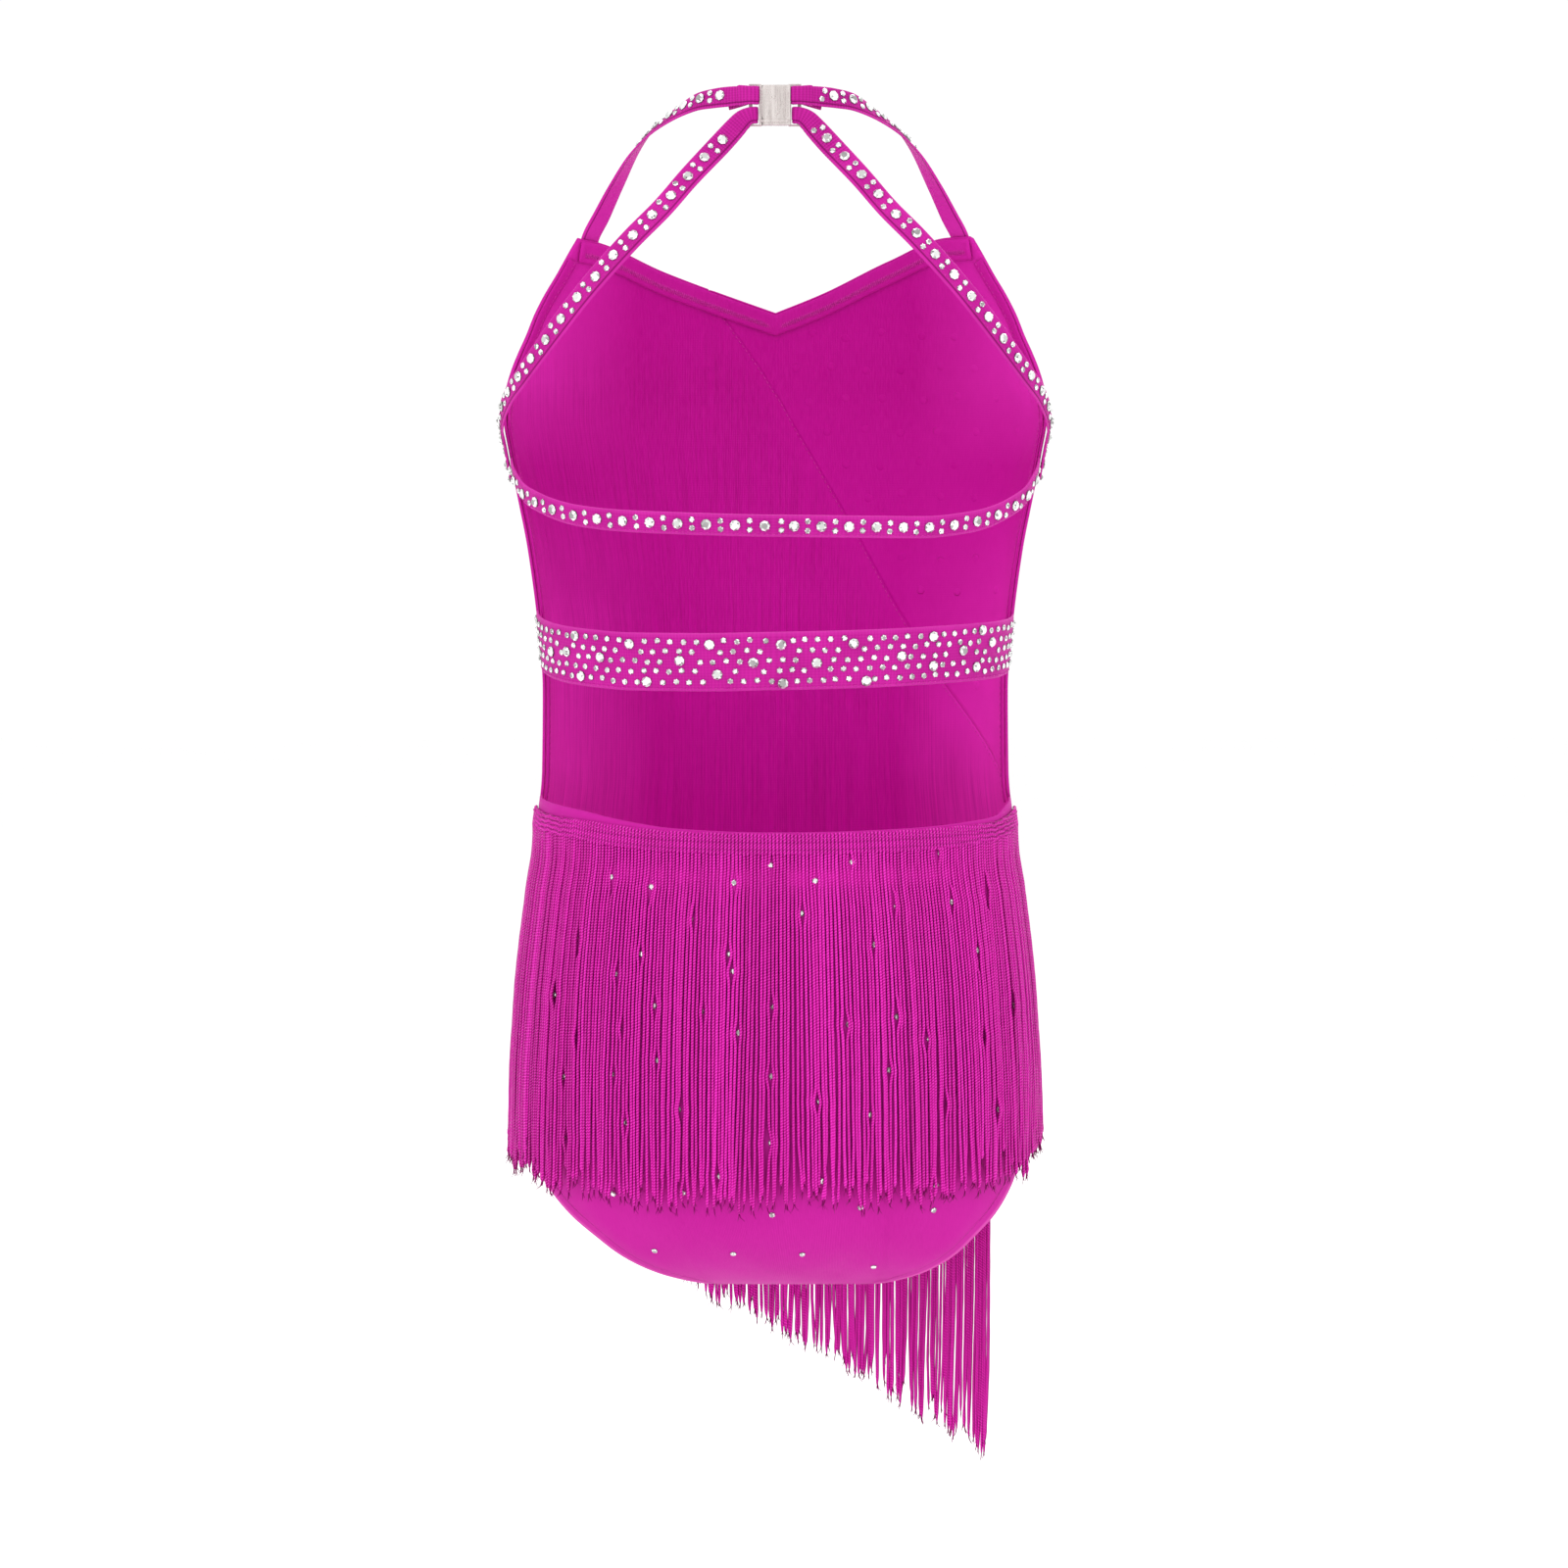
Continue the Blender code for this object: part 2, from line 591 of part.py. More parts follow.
def build_back(cloth, band):
    """The brief's back, and the two bands that cross the open back."""

    def leg(angle):
        return CROTCH if abs(angle) <= BACK_LEG[0].angle else edge_at(BACK_LEG, angle)

    leg_marks = [side * edge.angle for side in (-1, 1) for edge in BACK_LEG[:4]]
    stops = even_stops(-90.0, 90.0, 22, leg_marks)
    panel("back_brief", BACK, stops, lambda a: edge_at(BRIEF_TOP, a), leg, 13, cloth)
    for name, line, height, columns in (
        ("upper_band", UPPER_BAND, UPPER_BAND_HEIGHT, 30),
        ("waist_band", WAIST_BAND, WAIST_BAND_HEIGHT, 22),
    ):
        panel(name, BACK, even_stops(-90.0, 90.0, columns),
              lambda a, e=line, h=height: edge_at(e, a) - h / 2,
              lambda a, e=line, h=height: edge_at(e, a) + h / 2,
              2 if height > 20 else 1, band, thickness=BAND_THICKNESS)


def build_bindings(cloth):
    """The elastic turned inside the neckline, armholes and side edges."""
    limit = NECK_CORNER.angle - 1.2
    panel("neck_binding", FRONT, even_stops(-limit, limit, 18, (0.0,)),
          lambda a: front_top(a) + GAP, lambda a: front_top(a) + NECK_BINDING_HEIGHT, 1, cloth,
          lift=-NECK_BINDING_INSET, thickness=BINDING_THICKNESS, inward=True)
    side_binding("side_binding_right", 1, cloth)
    side_binding("side_binding_left", -1, cloth)


def build_straps(finish):
    lift = LAID_ON + STRAP_THICKNESS / 2
    back_rows = BACK_STRAP + strap_rows_on(BACK_STRAP_ON_BODY, BACK, lift + GAP, BACK_STRAP_WIDTH)
    halter_rows = HALTER_STRAP + strap_rows_on(HALTER_END, FRONT, lift + GAP, HALTER_WIDTH)
    for side, word in ((1, "right"), (-1, "left")):
        strap("back_strap_" + word, back_rows, side, finish)
        strap("halter_strap_" + word, halter_rows, side, finish)


def build_fringes(finish):
    fringe("back_fringe", BACK, BACK_HEADING, BACK_STRANDS, (0.16, 0.5, 1.0), 7, finish)
    fringe("front_fringe", FRONT, FRONT_HEADING, FRONT_STRANDS, (0.22, 1.0), 11, finish)


def main():
    for old in list(bpy.data.objects):
        bpy.data.objects.remove(old)
    for name in ("Leotard", "Cutters"):
        bpy.context.scene.collection.children.link(bpy.data.collections.new(name))
    cloth = material("Stretch_cloth", CLOTH_COLOUR)
    elastic = material("Covered_elastic", STRAP_COLOUR)
    build_front(cloth)
    build_back(cloth, elastic)
    build_bindings(cloth)
    build_straps(elastic)
    build_fringes(material("Fringe_cord", FRINGE_COLOUR))
    clear = material("Clear_plastic", CLASP_COLOUR)
    clasp_half("clasp_hook_right", 1, BACK, clear)
    clasp_half("clasp_eye_left", -1, FRONT, clear)


main()
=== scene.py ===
"""The looks of the latin dance leotard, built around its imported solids.

+X is the wearer's right, -Y the back of the garment, which the camera sees, and +Z is up. Tables are in
millimetres, in the same frame as the solids, and MM turns them into metres.
"""
import math
import random
from collections import namedtuple

import bpy
import numpy as np
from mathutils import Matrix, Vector


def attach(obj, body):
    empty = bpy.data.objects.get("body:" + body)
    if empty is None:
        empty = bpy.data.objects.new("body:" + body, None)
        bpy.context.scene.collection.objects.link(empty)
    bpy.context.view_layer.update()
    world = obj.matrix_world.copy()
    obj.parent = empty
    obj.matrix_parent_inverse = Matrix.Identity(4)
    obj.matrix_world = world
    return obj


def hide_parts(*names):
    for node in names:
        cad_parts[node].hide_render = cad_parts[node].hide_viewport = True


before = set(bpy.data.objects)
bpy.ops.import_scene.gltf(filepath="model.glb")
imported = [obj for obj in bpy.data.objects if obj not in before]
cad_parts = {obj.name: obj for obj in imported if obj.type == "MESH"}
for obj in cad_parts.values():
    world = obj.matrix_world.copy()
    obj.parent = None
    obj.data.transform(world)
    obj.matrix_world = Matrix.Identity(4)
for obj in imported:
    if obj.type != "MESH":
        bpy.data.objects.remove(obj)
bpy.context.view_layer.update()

MM = 0.001
BACK, FRONT = -1, 1

# The camera, at the photograph's angle and distance.
TARGET = Vector((0.004, 0.048, -0.3061))
CAMERA_DISTANCE = 2.5023
CAMERA_ELEVATION = math.radians(2.475)
FIELD_OF_VIEW = math.radians(16.37)
SENSOR = 36.0


def add_camera():
    data = bpy.data.cameras.new("Camera")
    data.sensor_width = SENSOR
    data.lens = SENSOR / 2 / math.tan(FIELD_OF_VIEW / 2)
    camera = bpy.data.objects.new("Camera", data)
    bpy.context.scene.collection.objects.link(camera)
    towards = Vector((0, -math.cos(CAMERA_ELEVATION), math.sin(CAMERA_ELEVATION)))
    camera.location = TARGET + towards * CAMERA_DISTANCE
    camera.rotation_mode = "QUATERNION"
    camera.rotation_quaternion = (-towards).to_track_quat("-Z", "Y")
    bpy.context.scene.camera = camera


add_camera()

# Thicknesses and clearances, as in the solids.
GAP = 0.3
CLOTH = 1.2
BAND_THICKNESS = 1.3
STRAP_THICKNESS = 1.1
BINDING_THICKNESS = 0.8
LAID_ON = CLOTH + GAP

ROUNDNESS = 2.3
Section = namedtuple("Section", "height half_width back front")
FIGURE = [
    Section(-40, 112.0, -24.0, 92.0),
    Section(-70, 119.0, -32.0, 106.0),
    Section(-100, 122.8, -37.0, 118.0),
    Section(-136, 123.2, -40.0, 126.0),
    Section(-155, 120.4, -40.0, 127.0),
    Section(-172, 117.2, -39.0, 127.0),
    Section(-199, 112.0, -36.5, 125.0),
    Section(-235, 107.4, -32.0, 121.0),
    Section(-262, 105.4, -28.5, 119.0),
    Section(-300, 105.8, -27.0, 118.5),
    Section(-330, 109.0, -31.0, 120.0),
    Section(-365, 112.5, -39.0, 122.0),
    Section(-400, 115.0, -46.0, 123.0),
    Section(-435, 115.5, -49.0, 122.0),
    Section(-470, 112.0, -49.0, 118.0),
]
SEAT_TOP = 470.0
SEAT_DEPTH = 64.0
SEAT_ARC = 125.0
CROTCH_Y = 45.0
CROTCH_HALF_SECTION = 80.0
CROTCH_SHIFT = 8.0
CROTCH = SEAT_TOP + SEAT_ARC

# Edges, as an angle round from a half's centre line in degrees and a distance down the cloth.
Edge = namedtuple("Edge", "angle down")
ARMHOLE = [
    Edge(49.5, 55), Edge(55.1, 71), Edge(59.3, 80.6), Edge(63.2, 90), Edge(66.7, 99), Edge(72, 108),
    Edge(78, 117), Edge(84, 126), Edge(90, 140),
]
FRONT_LEG = [
    Edge(21.2, CROTCH), Edge(22.2, 582), Edge(24.5, 564), Edge(28, 546), Edge(35, 522), Edge(45, 498),
    Edge(60, 472), Edge(75, 450), Edge(90, 432),
]
BACK_LEG = [
    Edge(21.2, CROTCH), Edge(22.6, 582), Edge(26.2, 568), Edge(34.4, 552), Edge(43.9, 533), Edge(50.5, 518),
    Edge(57.7, 506), Edge(64.7, 494), Edge(71.8, 482), Edge(81, 458), Edge(90, 432),
]
BRIEF_TOP = [
    Edge(-90, 311.2), Edge(-69, 313.6), Edge(-51, 316.2), Edge(-36, 320), Edge(-20, 323.4), Edge(0, 324.8),
    Edge(30, 323.4), Edge(51, 321.2), Edge(65, 319.4), Edge(75, 315.5), Edge(90, 312),
]
UPPER_BAND = [
    Edge(-90, 161), Edge(-84, 165.2), Edge(-78.6, 169.1), Edge(-73, 173.3), Edge(-63.7, 177.4), Edge(-55.5, 180.8),
    Edge(-47, 183.4), Edge(-34, 185.6), Edge(-14, 187.2), Edge(0, 188), Edge(31.6, 188.6), Edge(47, 186.2),
    Edge(55.5, 183.4), Edge(63.7, 179.4), Edge(73, 174.5), Edge(78.6, 169.6), Edge(84, 165.5), Edge(90, 161),
]
UPPER_BAND_HEIGHT = 9.2
WAIST_BAND = [
    Edge(-90, 239), Edge(-75, 242.8), Edge(-60, 245.6), Edge(-47, 247.2), Edge(-34, 248.4), Edge(-14, 248.6),
    Edge(0, 248), Edge(20, 247), Edge(45, 245.2), Edge(70, 243.4), Edge(90, 240.8),
]
WAIST_BAND_HEIGHT = 25.4

Line = namedtuple("Line", "across down")
NECKLINE_RIGHT = [Line(0, 88.2), Line(21.3, 79.4), Line(51.7, 64.8), Line(79.5, 54.6), Line(91, 54.2)]
NECKLINE_LEFT = [Line(0, 88.2), Line(50.3, 69.8), Line(81.7, 56.8), Line(91, 55.2)]
NECK_CORNER = ARMHOLE[0]
NECK_BINDING_HEIGHT = 9.6
NECK_BINDING_INSET = 0.7
SIDE_BINDING_WIDTH = 5.0
SIDE_BINDING_INSET = 1.1
SIDE_BINDING_END = 314.0
SEAM = [
    Line(-32, 77), Line(-6.5, 114), Line(9, 140), Line(27, 171), Line(40, 194), Line(58, 227), Line(80, 263),
    Line(104, 302),
]
SEAM_SIDE_END = 312.0
SEAM_CLEARANCE = 0.12

HEADING_HEIGHT = 8.0
HEADING_THICKNESS = 1.8
Heading = namedtuple("Heading", "angle down strand_length")
BACK_HEADING = [
    Heading(-89, 316.2, 154.5), Heading(-69, 318.6, 157.5), Heading(-51, 320.8, 159), Heading(-36, 323.4, 159.5),
    Heading(-20, 325.4, 159.5), Heading(0, 326.2, 159.5), Heading(30, 325, 159), Heading(51, 323.2, 158),
    Heading(65, 321.4, 155), Heading(77, 318.6, 150), Heading(89, 316.5, 147),
]
FRONT_HEADING = [
    Heading(-88, 318, 140), Heading(-65, 330, 146), Heading(-36, 356, 153), Heading(-17, 384, 157),
    Heading(0, 404, 160), Heading(22.5, 430, 164), Heading(53.5, 452, 167),
]
FALL_BLEND = 28.0
FALL = [
    Section(-325, 111.0, -35.2, 124.6),
    Section(-343, 113.2, -39.0, 125.6),
    Section(-361, 115.4, -42.8, 126.4),
    Section(-379, 117.6, -47.0, 127.2),
    Section(-397, 119.4, -50.4, 127.8),
    Section(-415, 120.6, -52.4, 128.2),
    Section(-433, 121.7, -53.6, 128.4),
    Section(-460, 122.4, -54.4, 128.4),
    Section(-480, 122.6, -54.8, 128.2),
    Section(-540, 122.2, -55.4, 127.5),
    Section(-630, 120.5, -56.0, 127.0),
]

# Straps on the wearer's right, from the folded tail round the clasp's bar to the sewn end.
Strap = namedtuple("Strap", "x y z face_x face_y face_z width")
BACK_STRAP = [
    Strap(20.5, -0.9, -13.4, 0, 1, 0, 9.0),
    Strap(16.0, -0.6, -8.6, 0, 1, 0, 8.2),
    Strap(11.5, -0.55, -4.9, 0, 1, 0, 7.4),
    Strap(8.8, -1.15, -4.4, -0.7, 0.7, 0, 7.4),
    Strap(7.95, -2.5, -4.4, -1, 0, 0, 7.4),
    Strap(8.8, -3.85, -4.4, -0.7, -0.7, 0, 7.4),
    Strap(11.5, -4.5, -4.8, 0, -1, 0, 7.6),
    Strap(14.5, -4.2, -6.6, 0, -1, 0, 8.8),
    Strap(18.0, -4.4, -10.4, 0.05, -1, 0.05, 9.8),
    Strap(25.2, -7.5, -18.5, 0.1, -0.98, 0.15, 10.4),
    Strap(38.1, -16.0, -32.8, 0.2, -0.95, 0.22, 10.4),
    Strap(50.1, -22.7, -47.1, 0.25, -0.94, 0.24, 10.4),
]
BACK_STRAP_ON_BODY = [
    Edge(29.9, 62.6), Edge(39.8, 82.7), Edge(49.9, 101.8), Edge(62.4, 119.7), Edge(72.5, 129.8),
    Edge(83, 140), Edge(90, 152), Edge(90, 166),
]
BACK_STRAP_WIDTH = 10.4
HALTER_STRAP = [
    Strap(21.0, 2.2, 2.5, -0.5, 0.85, 0, 8.8),
    Strap(16.5, 0.0, 3.3, -0.35, 0.94, 0, 8.2),
    Strap(11.5, -0.55, 4.4, 0, 1, 0, 7.4),
    Strap(8.8, -1.15, 4.4, -0.7, 0.7, 0, 7.4),
    Strap(7.95, -2.5, 4.4, -1, 0, 0, 7.4),
    Strap(8.8, -3.85, 4.4, -0.7, -0.7, 0, 7.4),
    Strap(11.5, -4.5, 4.4, 0, -1, 0, 7.4),
    Strap(15.5, -3.6, 4.3, 0.25, -0.96, 0.05, 8.4),
    Strap(20.0, -1.8, 4.0, 0.3, -0.94, 0.15, 9.2),
    Strap(26.9, 1.5, 3.5, 0.33, -0.9, 0.3, 9.6),
    Strap(35.4, 7.5, 2.2, 0.4, -0.8, 0.45, 9.6),
    Strap(44.7, 17.0, -1.9, 0.55, -0.5, 0.65, 9.6),
    Strap(55.4, 31.0, -8.5, 0.68, -0.2, 0.7, 9.4),
    Strap(64.5, 46.0, -17.8, 0.74, 0.33, 0.58, 9.4),
    Strap(72.9, 63.0, -31.0, 0.58, 0.72, 0.36, 9.4),
    Strap(80.4, 78.0, -44.4, 0.44, 0.86, 0.26, 9.4),
]
HALTER_END = [Edge(44.4, 56.0), Edge(44.0, 67.0)]
HALTER_WIDTH = 9.4

# Stones: the large and small ones' diameters.
LARGE, SMALL = 4.7, 2.8


# The figure, for arrays of places.
def curve(knots, values, at):
    """A smooth curve through the values, level past its ends, for an array of places."""
    knots, values = np.asarray(knots, float), np.asarray(values, float)
    at = np.clip(np.asarray(at, float), knots[0], knots[-1])
    rises = np.diff(values) / np.diff(knots)
    slopes = np.concatenate([rises[:1], np.zeros(len(knots) - 2), rises[-1:]])
    for k in range(1, len(knots) - 1):
        before, after = rises[k - 1], rises[k]
        if before * after > 0:
            slopes[k] = 2 * before * after / (before + after)
    i = np.clip(np.searchsorted(knots, at, side="right") - 1, 0, len(knots) - 2)
    step = knots[i + 1] - knots[i]
    t = (at - knots[i]) / step
    return (
        values[i] * (1 + 2 * t) * (1 - t) ** 2
        + slopes[i] * step * t * (1 - t) ** 2
        + values[i + 1] * t * t * (3 - 2 * t)
        + slopes[i + 1] * step * t * t * (t - 1)
    )


def section_at(table, height):
    """(half width, back, front) of a table's sections at an array of heights."""
    heights = [-row.height for row in table]
    return tuple(curve(heights, [row[k] for row in table], -np.asarray(height, float)) for k in (1, 2, 3))


def edge_at(table, angle):
    angles = [row.angle for row in table]
    angle = np.asarray(angle, float)
    return curve(angles, [row.down for row in table], angle if angles[0] < 0 else np.abs(angle))


def figure_section(down):
    """(height, half width, back, front, shift) of the figure at an array of distances down the cloth."""
    down = np.asarray(down, float)
    half_width, back, front = section_at(FIGURE, -np.minimum(down, SEAT_TOP))
    turn = np.clip((down - SEAT_TOP) / SEAT_ARC, 0, 1) * math.pi / 2
    level = np.cos(turn)
    height = -np.minimum(down, SEAT_TOP) - SEAT_DEPTH * np.sin(turn)
    return (
        height,
        CROTCH_HALF_SECTION + (half_width - CROTCH_HALF_SECTION) * level,
        CROTCH_Y + (back - CROTCH_Y) * level,
        CROTCH_Y + (front - CROTCH_Y) * level,
        CROTCH_SHIFT * np.sin(turn),
    )


def rounded(value):
    return np.copysign(np.abs(value) ** (2 / ROUNDNESS), value)


def on_section(height, half_width, back, front, angle, half):
    turn = np.radians(angle)
    x = half_width * rounded(np.sin(turn))
    y = (back + front) / 2 + half * (GAP / 2 + (front - back) / 2 * rounded(np.cos(turn)))
    return np.stack(np.broadcast_arrays(x, y, height), axis=-1)


def on_figure(angle, down, half):
    height, half_width, back, front, shift = figure_section(down)
    point = on_section(height, half_width, back, front, angle, half)
    point[..., 0] += shift
    return point


def unit(vectors):
    return vectors / np.maximum(np.linalg.norm(vectors, axis=-1, keepdims=True), 1e-9)


def outward(angle, down, half):
    across = on_figure(angle + 0.5, down, half) - on_figure(angle - 0.5, down, half)
    below = on_figure(angle, np.minimum(down + 0.5, CROTCH), half) - on_figure(angle, down - 0.5, half)
    return unit(np.cross(across, below) if half == FRONT else np.cross(below, across))


# Soft troughs and ridges of the cloth, each along a line on one half.
Crease = namedtuple("Crease", "half angle down to_angle to_down width depth")
CREASES = [
    Crease(FRONT, -62, 196, -20, 214, 9.0, -0.9),
    Crease(FRONT, -70, 214, -34, 226, 7.0, 0.7),
    Crease(FRONT, 66, 205, 26, 219, 8.0, -0.8),
    Crease(FRONT, 74, 232, 40, 238, 7.0, 0.6),
    Crease(FRONT, -58, 262, -14, 252, 8.0, -0.6),
    Crease(FRONT, -10, 120, -16, 200, 10.0, -0.5),
    Crease(FRONT, 38, 95, 30, 150, 9.0, 0.5),
    Crease(FRONT, -78, 150, -66, 190, 6.0, -0.7),
    Crease(FRONT, 79, 148, 66, 182, 6.0, -0.6),
    Crease(FRONT, 8, 520, 26, 482, 7.0, -0.8),
    Crease(FRONT, -8, 520, -26, 480, 7.0, -0.7),
    Crease(FRONT, 2, 548, 14, 505, 6.0, 0.5),
    Crease(BACK, 30, 545, 52, 494, 8.0, 0.9),
    Crease(BACK, -30, 545, -50, 494, 8.0, 0.8),
    Crease(BACK, 6, 560, 18, 520, 7.0, -0.7),
    Crease(BACK, -5, 556, -16, 524, 7.0, -0.6),
    Crease(BACK, 84, 330, 60, 352, 7.0, -0.8),
    Crease(BACK, -84, 330, -58, 350, 7.0, -0.7),
    Crease(BACK, 78, 440, 64, 410, 7.0, -0.6),
    Crease(BACK, -76, 444, -62, 412, 7.0, -0.6),
]
ACROSS_A_DEGREE = 1.75


def creases_at(angle, down, half):
    """How far the creases lift the cloth, in millimetres."""
    lift = np.zeros(np.broadcast(angle, down).shape)
    for crease in CREASES:
        if crease.half != half:
            continue
        ax, ay = crease.angle * ACROSS_A_DEGREE, crease.down
        bx, by = crease.to_angle * ACROSS_A_DEGREE - ax, crease.to_down - ay
        px, py = angle * ACROSS_A_DEGREE - ax, down - ay
        along = np.clip((px * bx + py * by) / (bx * bx + by * by), 0, 1)
        away = np.hypot(px - along * bx, py - along * by)
        lift = lift + crease.depth * np.exp(-((away / crease.width) ** 2)) * np.sin(math.pi * (0.12 + 0.76 * along))
    return lift


def on_cloth(angle, down, half, lift=0.0):
    angle, down = np.asarray(angle, float), np.asarray(down, float)
    total = np.asarray(lift + creases_at(angle, down, half))[..., None]
    return on_figure(angle, down, half) + outward(angle, down, half) * total


def angle_at(across, down):
    _, half_width, _, _, shift = figure_section(down)
    share = np.clip((across - shift) / half_width, -1, 1)
    return np.degrees(np.arcsin(np.copysign(np.abs(share) ** (ROUNDNESS / 2), share)))


def front_top(angle):
    angle = np.asarray(angle, float)
    across = np.abs(on_figure(angle, NECK_CORNER.down, FRONT)[..., 0])
    lines = [
        curve([row.across for row in line], [row.down for row in line], across)
        for line in (NECKLINE_RIGHT, NECKLINE_LEFT)
    ]
    neck = np.where(angle > 0, *lines)
    return np.where(np.abs(angle) >= NECK_CORNER.angle, edge_at(ARMHOLE, angle), neck)


SEAM_ANGLES = [float(angle_at(row.across, row.down)) for row in SEAM] + [90.0]
SEAM_DOWNS = [row.down for row in SEAM] + [SEAM_SIDE_END]
SEAM_START = SEAM_ANGLES[0] + 0.3


def seam_at(angle):
    return curve(SEAM_ANGLES, SEAM_DOWNS, angle)


# Materials.
class Finish:
    """A material whose Principled shader is fed by nodes that add() makes."""

    def __init__(self, name, **settings):
        self.material = bpy.data.materials.new(name)
        self.material.use_nodes = True
        self.tree = self.material.node_tree
        self.shader = self.tree.nodes["Principled BSDF"]
        for key, value in settings.items():
            self.shader.inputs[key.replace("_", " ")].default_value = value

    def add(self, kind, inputs=(), **settings):
        made = self.tree.nodes.new("ShaderNode" + kind)
        for key, value in settings.items():
            setattr(made, key, value)
        for key, value in dict(inputs).items():
            self.put(made.inputs[key], value)
        return made

    def put(self, socket, value):
        if isinstance(value, bpy.types.NodeSocket):
            self.tree.links.new(value, socket)
        else:
            socket.default_value = value

    def math(self, operation, *values):
        made = self.add("Math", operation=operation)
        for k, value in enumerate(values):
            self.put(made.inputs[k], value)
        return made.outputs[0]

    def attribute(self, name):
        return self.add("Attribute", attribute_name=name)

    def place(self):
        return self.add("NewGeometry").outputs["Position"]

    def noise(self, vector, scale, detail=3.0, roughness=0.5):
        return self.add("TexNoise", {"Vector": vector, "Scale": scale, "Detail": detail, "Roughness": roughness}).outputs[0]

    def ramp(self, factor, *stops):
        """A colour ramp through (position, colour) stops."""
        made = self.add("ValToRGB", {"Fac": factor})
        elements = made.color_ramp.elements
        for _ in stops[2:]:
            elements.new(0.5)
        for element, (position, colour) in zip(elements, stops):
            element.position = position
            element.color = (*colour, 1)
        return made.outputs[0]

    def mix(self, factor, one, two, blend="MIX"):
        made = self.add("MixRGB", {"Fac": factor, "Color1": one, "Color2": two}, blend_type=blend)
        return made.outputs[0]

    def scaled(self, vector, x, y, z):
        made = self.add("Mapping", {"Vector": vector, "Scale": (x, y, z)})
        return made.outputs[0]

    def range(self, value, low, high, to_low=0.0, to_high=1.0):
        made = self.add("MapRange", {"Value": value, "From Min": low, "From Max": high, "To Min": to_low, "To Max": to_high})
        return made.outputs[0]

    def bump(self, height, distance, strength=1.0, normal=None):
        inputs = {"Height": height, "Distance": distance, "Strength": strength}
        if normal is not None:
            inputs["Normal"] = normal
        return self.add("Bump", inputs).outputs[0]

    def set(self, key, value):
        self.put(self.shader.inputs[key], value)


# Where across a strap its second layer starts, and what is added to tell straps from bands.
STRAP_ACROSS, LAYER_LINE = 100.0, 103.35


def linear(red, green, blue):
    """A colour given as 0 to 255 in a picture, as the shader takes it."""
    return tuple((c / 255 / 12.92 if c < 11 else ((c / 255 + 0.055) / 1.055) ** 2.4) for c in (red, green, blue))


def grey(level):
    return (level, level, level, 1)


SHEEN_TINT = (1.0, 0.45, 0.8, 1)
PLY_SPACING = 1.3


def cloth_finish():
    """Matt stretch knit: fine upright wales, and faint painted shadow lines where fringe hangs outside it."""
    made = Finish("Stretch_knit", Roughness=0.62, Specular_IOR_Level=0.07, Sheen_Weight=0.05, Sheen_Roughness=0.4,
                  Sheen_Tint=SHEEN_TINT)
    cloth = made.attribute("cloth").outputs["Vector"]
    split = made.add("SeparateXYZ", {"Vector": cloth})
    across, down, outside = split.outputs
    marks = made.add("SeparateXYZ", {"Vector": made.attribute("marks").outputs["Vector"]})
    lines, edge, along = marks.outputs
    place = made.place()
    inside = made.math("SUBTRACT", 1.0, outside)
    # Painted shade: the inside's tone is darkest near its top and paler further down.
    deep = made.math("MULTIPLY", made.range(down, 120.0, 330.0), inside)
    inner = made.mix(deep, (*linear(182, 2, 138), 1), (*linear(205, 4, 164), 1))
    # Painted light: the inside glows paler towards its sides, as if lit through the thin cloth, most low down and again
    # near the top.
    sides = made.range(made.math("ABSOLUTE", across), 50.0, 125.0)
    levels = made.math("ADD", made.range(down, 170.0, 300.0, 0.1, 1.0), made.range(down, 160.0, 120.0, 0.0, 0.55))
    glow = made.math("MULTIPLY", sides, levels)
    inner = made.mix(made.math("MULTIPLY", glow, inside), inner, (*linear(255, 62, 214), 1))
    tone = made.mix(outside, inner, (*linear(192, 30, 151), 1))
    mottle = made.noise(made.scaled(place, 1, 1, 0.6), 22.0, 4.0, 0.55)
    tone = made.mix(made.range(mottle, 0.3, 0.7, 0.0, 0.2), tone, (*linear(166, 4, 122), 1))
    # Painted shadow: faint upright streaks where the fringe hanging outside shades the cloth.
    fringe_shadow = made.noise(made.scaled(cloth, 1.15, 0.014, 0), 1.0, 4.0, 0.8)
    fringe_shadow = made.math("MULTIPLY", made.range(fringe_shadow, 0.42, 0.66, 0.0, 0.44), lines)
    tone = made.mix(fringe_shadow, tone, (*linear(140, 0, 100), 1))
    fleck = made.noise(made.scaled(cloth, 2.1, 0.16, 0), 1.0, 2.0, 0.6)
    tone = made.mix(made.range(fleck, 0.35, 0.65, 0.0, 0.13), tone, (*linear(222, 44, 176), 1))
    # Painted shade: a dark line in the hem's sunk stitching groove, 6.4 mm in from the leg's edge.
    groove = made.math("SUBTRACT", 1.0, made.range(made.math("ABSOLUTE", made.math("SUBTRACT", edge, 6.4)), 0.0, 0.45))
    # Painted highlight: a paler strip within about 2.6 mm of the turned leg edge.
    fold = made.math("SUBTRACT", 1.0, made.range(edge, 1.6, 2.6))
    tone = made.mix(made.math("MULTIPLY", groove, 0.35), tone, (*linear(140, 4, 100), 1))
    made.set("Base Color", made.mix(made.math("MULTIPLY", fold, 0.35), tone, (*linear(236, 108, 196), 1)))
    wale = made.math("SINE", made.math("MULTIPLY", across, 2 * math.pi / 0.62))
    course = made.math("SINE", made.math("MULTIPLY", down, 2 * math.pi / 0.8))
    knit = made.math("ADD", made.math("MULTIPLY", wale, 0.5), made.math("MULTIPLY", course, 0.25))
    knit = made.math("ADD", knit, made.math("MULTIPLY", fleck, 1.4))
    fine = made.bump(knit, 0.00005, 0.55)
    soft = made.bump(made.noise(place, 9.0, 2.0), 0.004, 0.12, fine)
    made.set("Normal", made.bump(groove, -0.00025, 0.8, soft))
    made.set("Roughness", made.range(mottle, 0.3, 0.7, 0.56, 0.68))
    return made.material


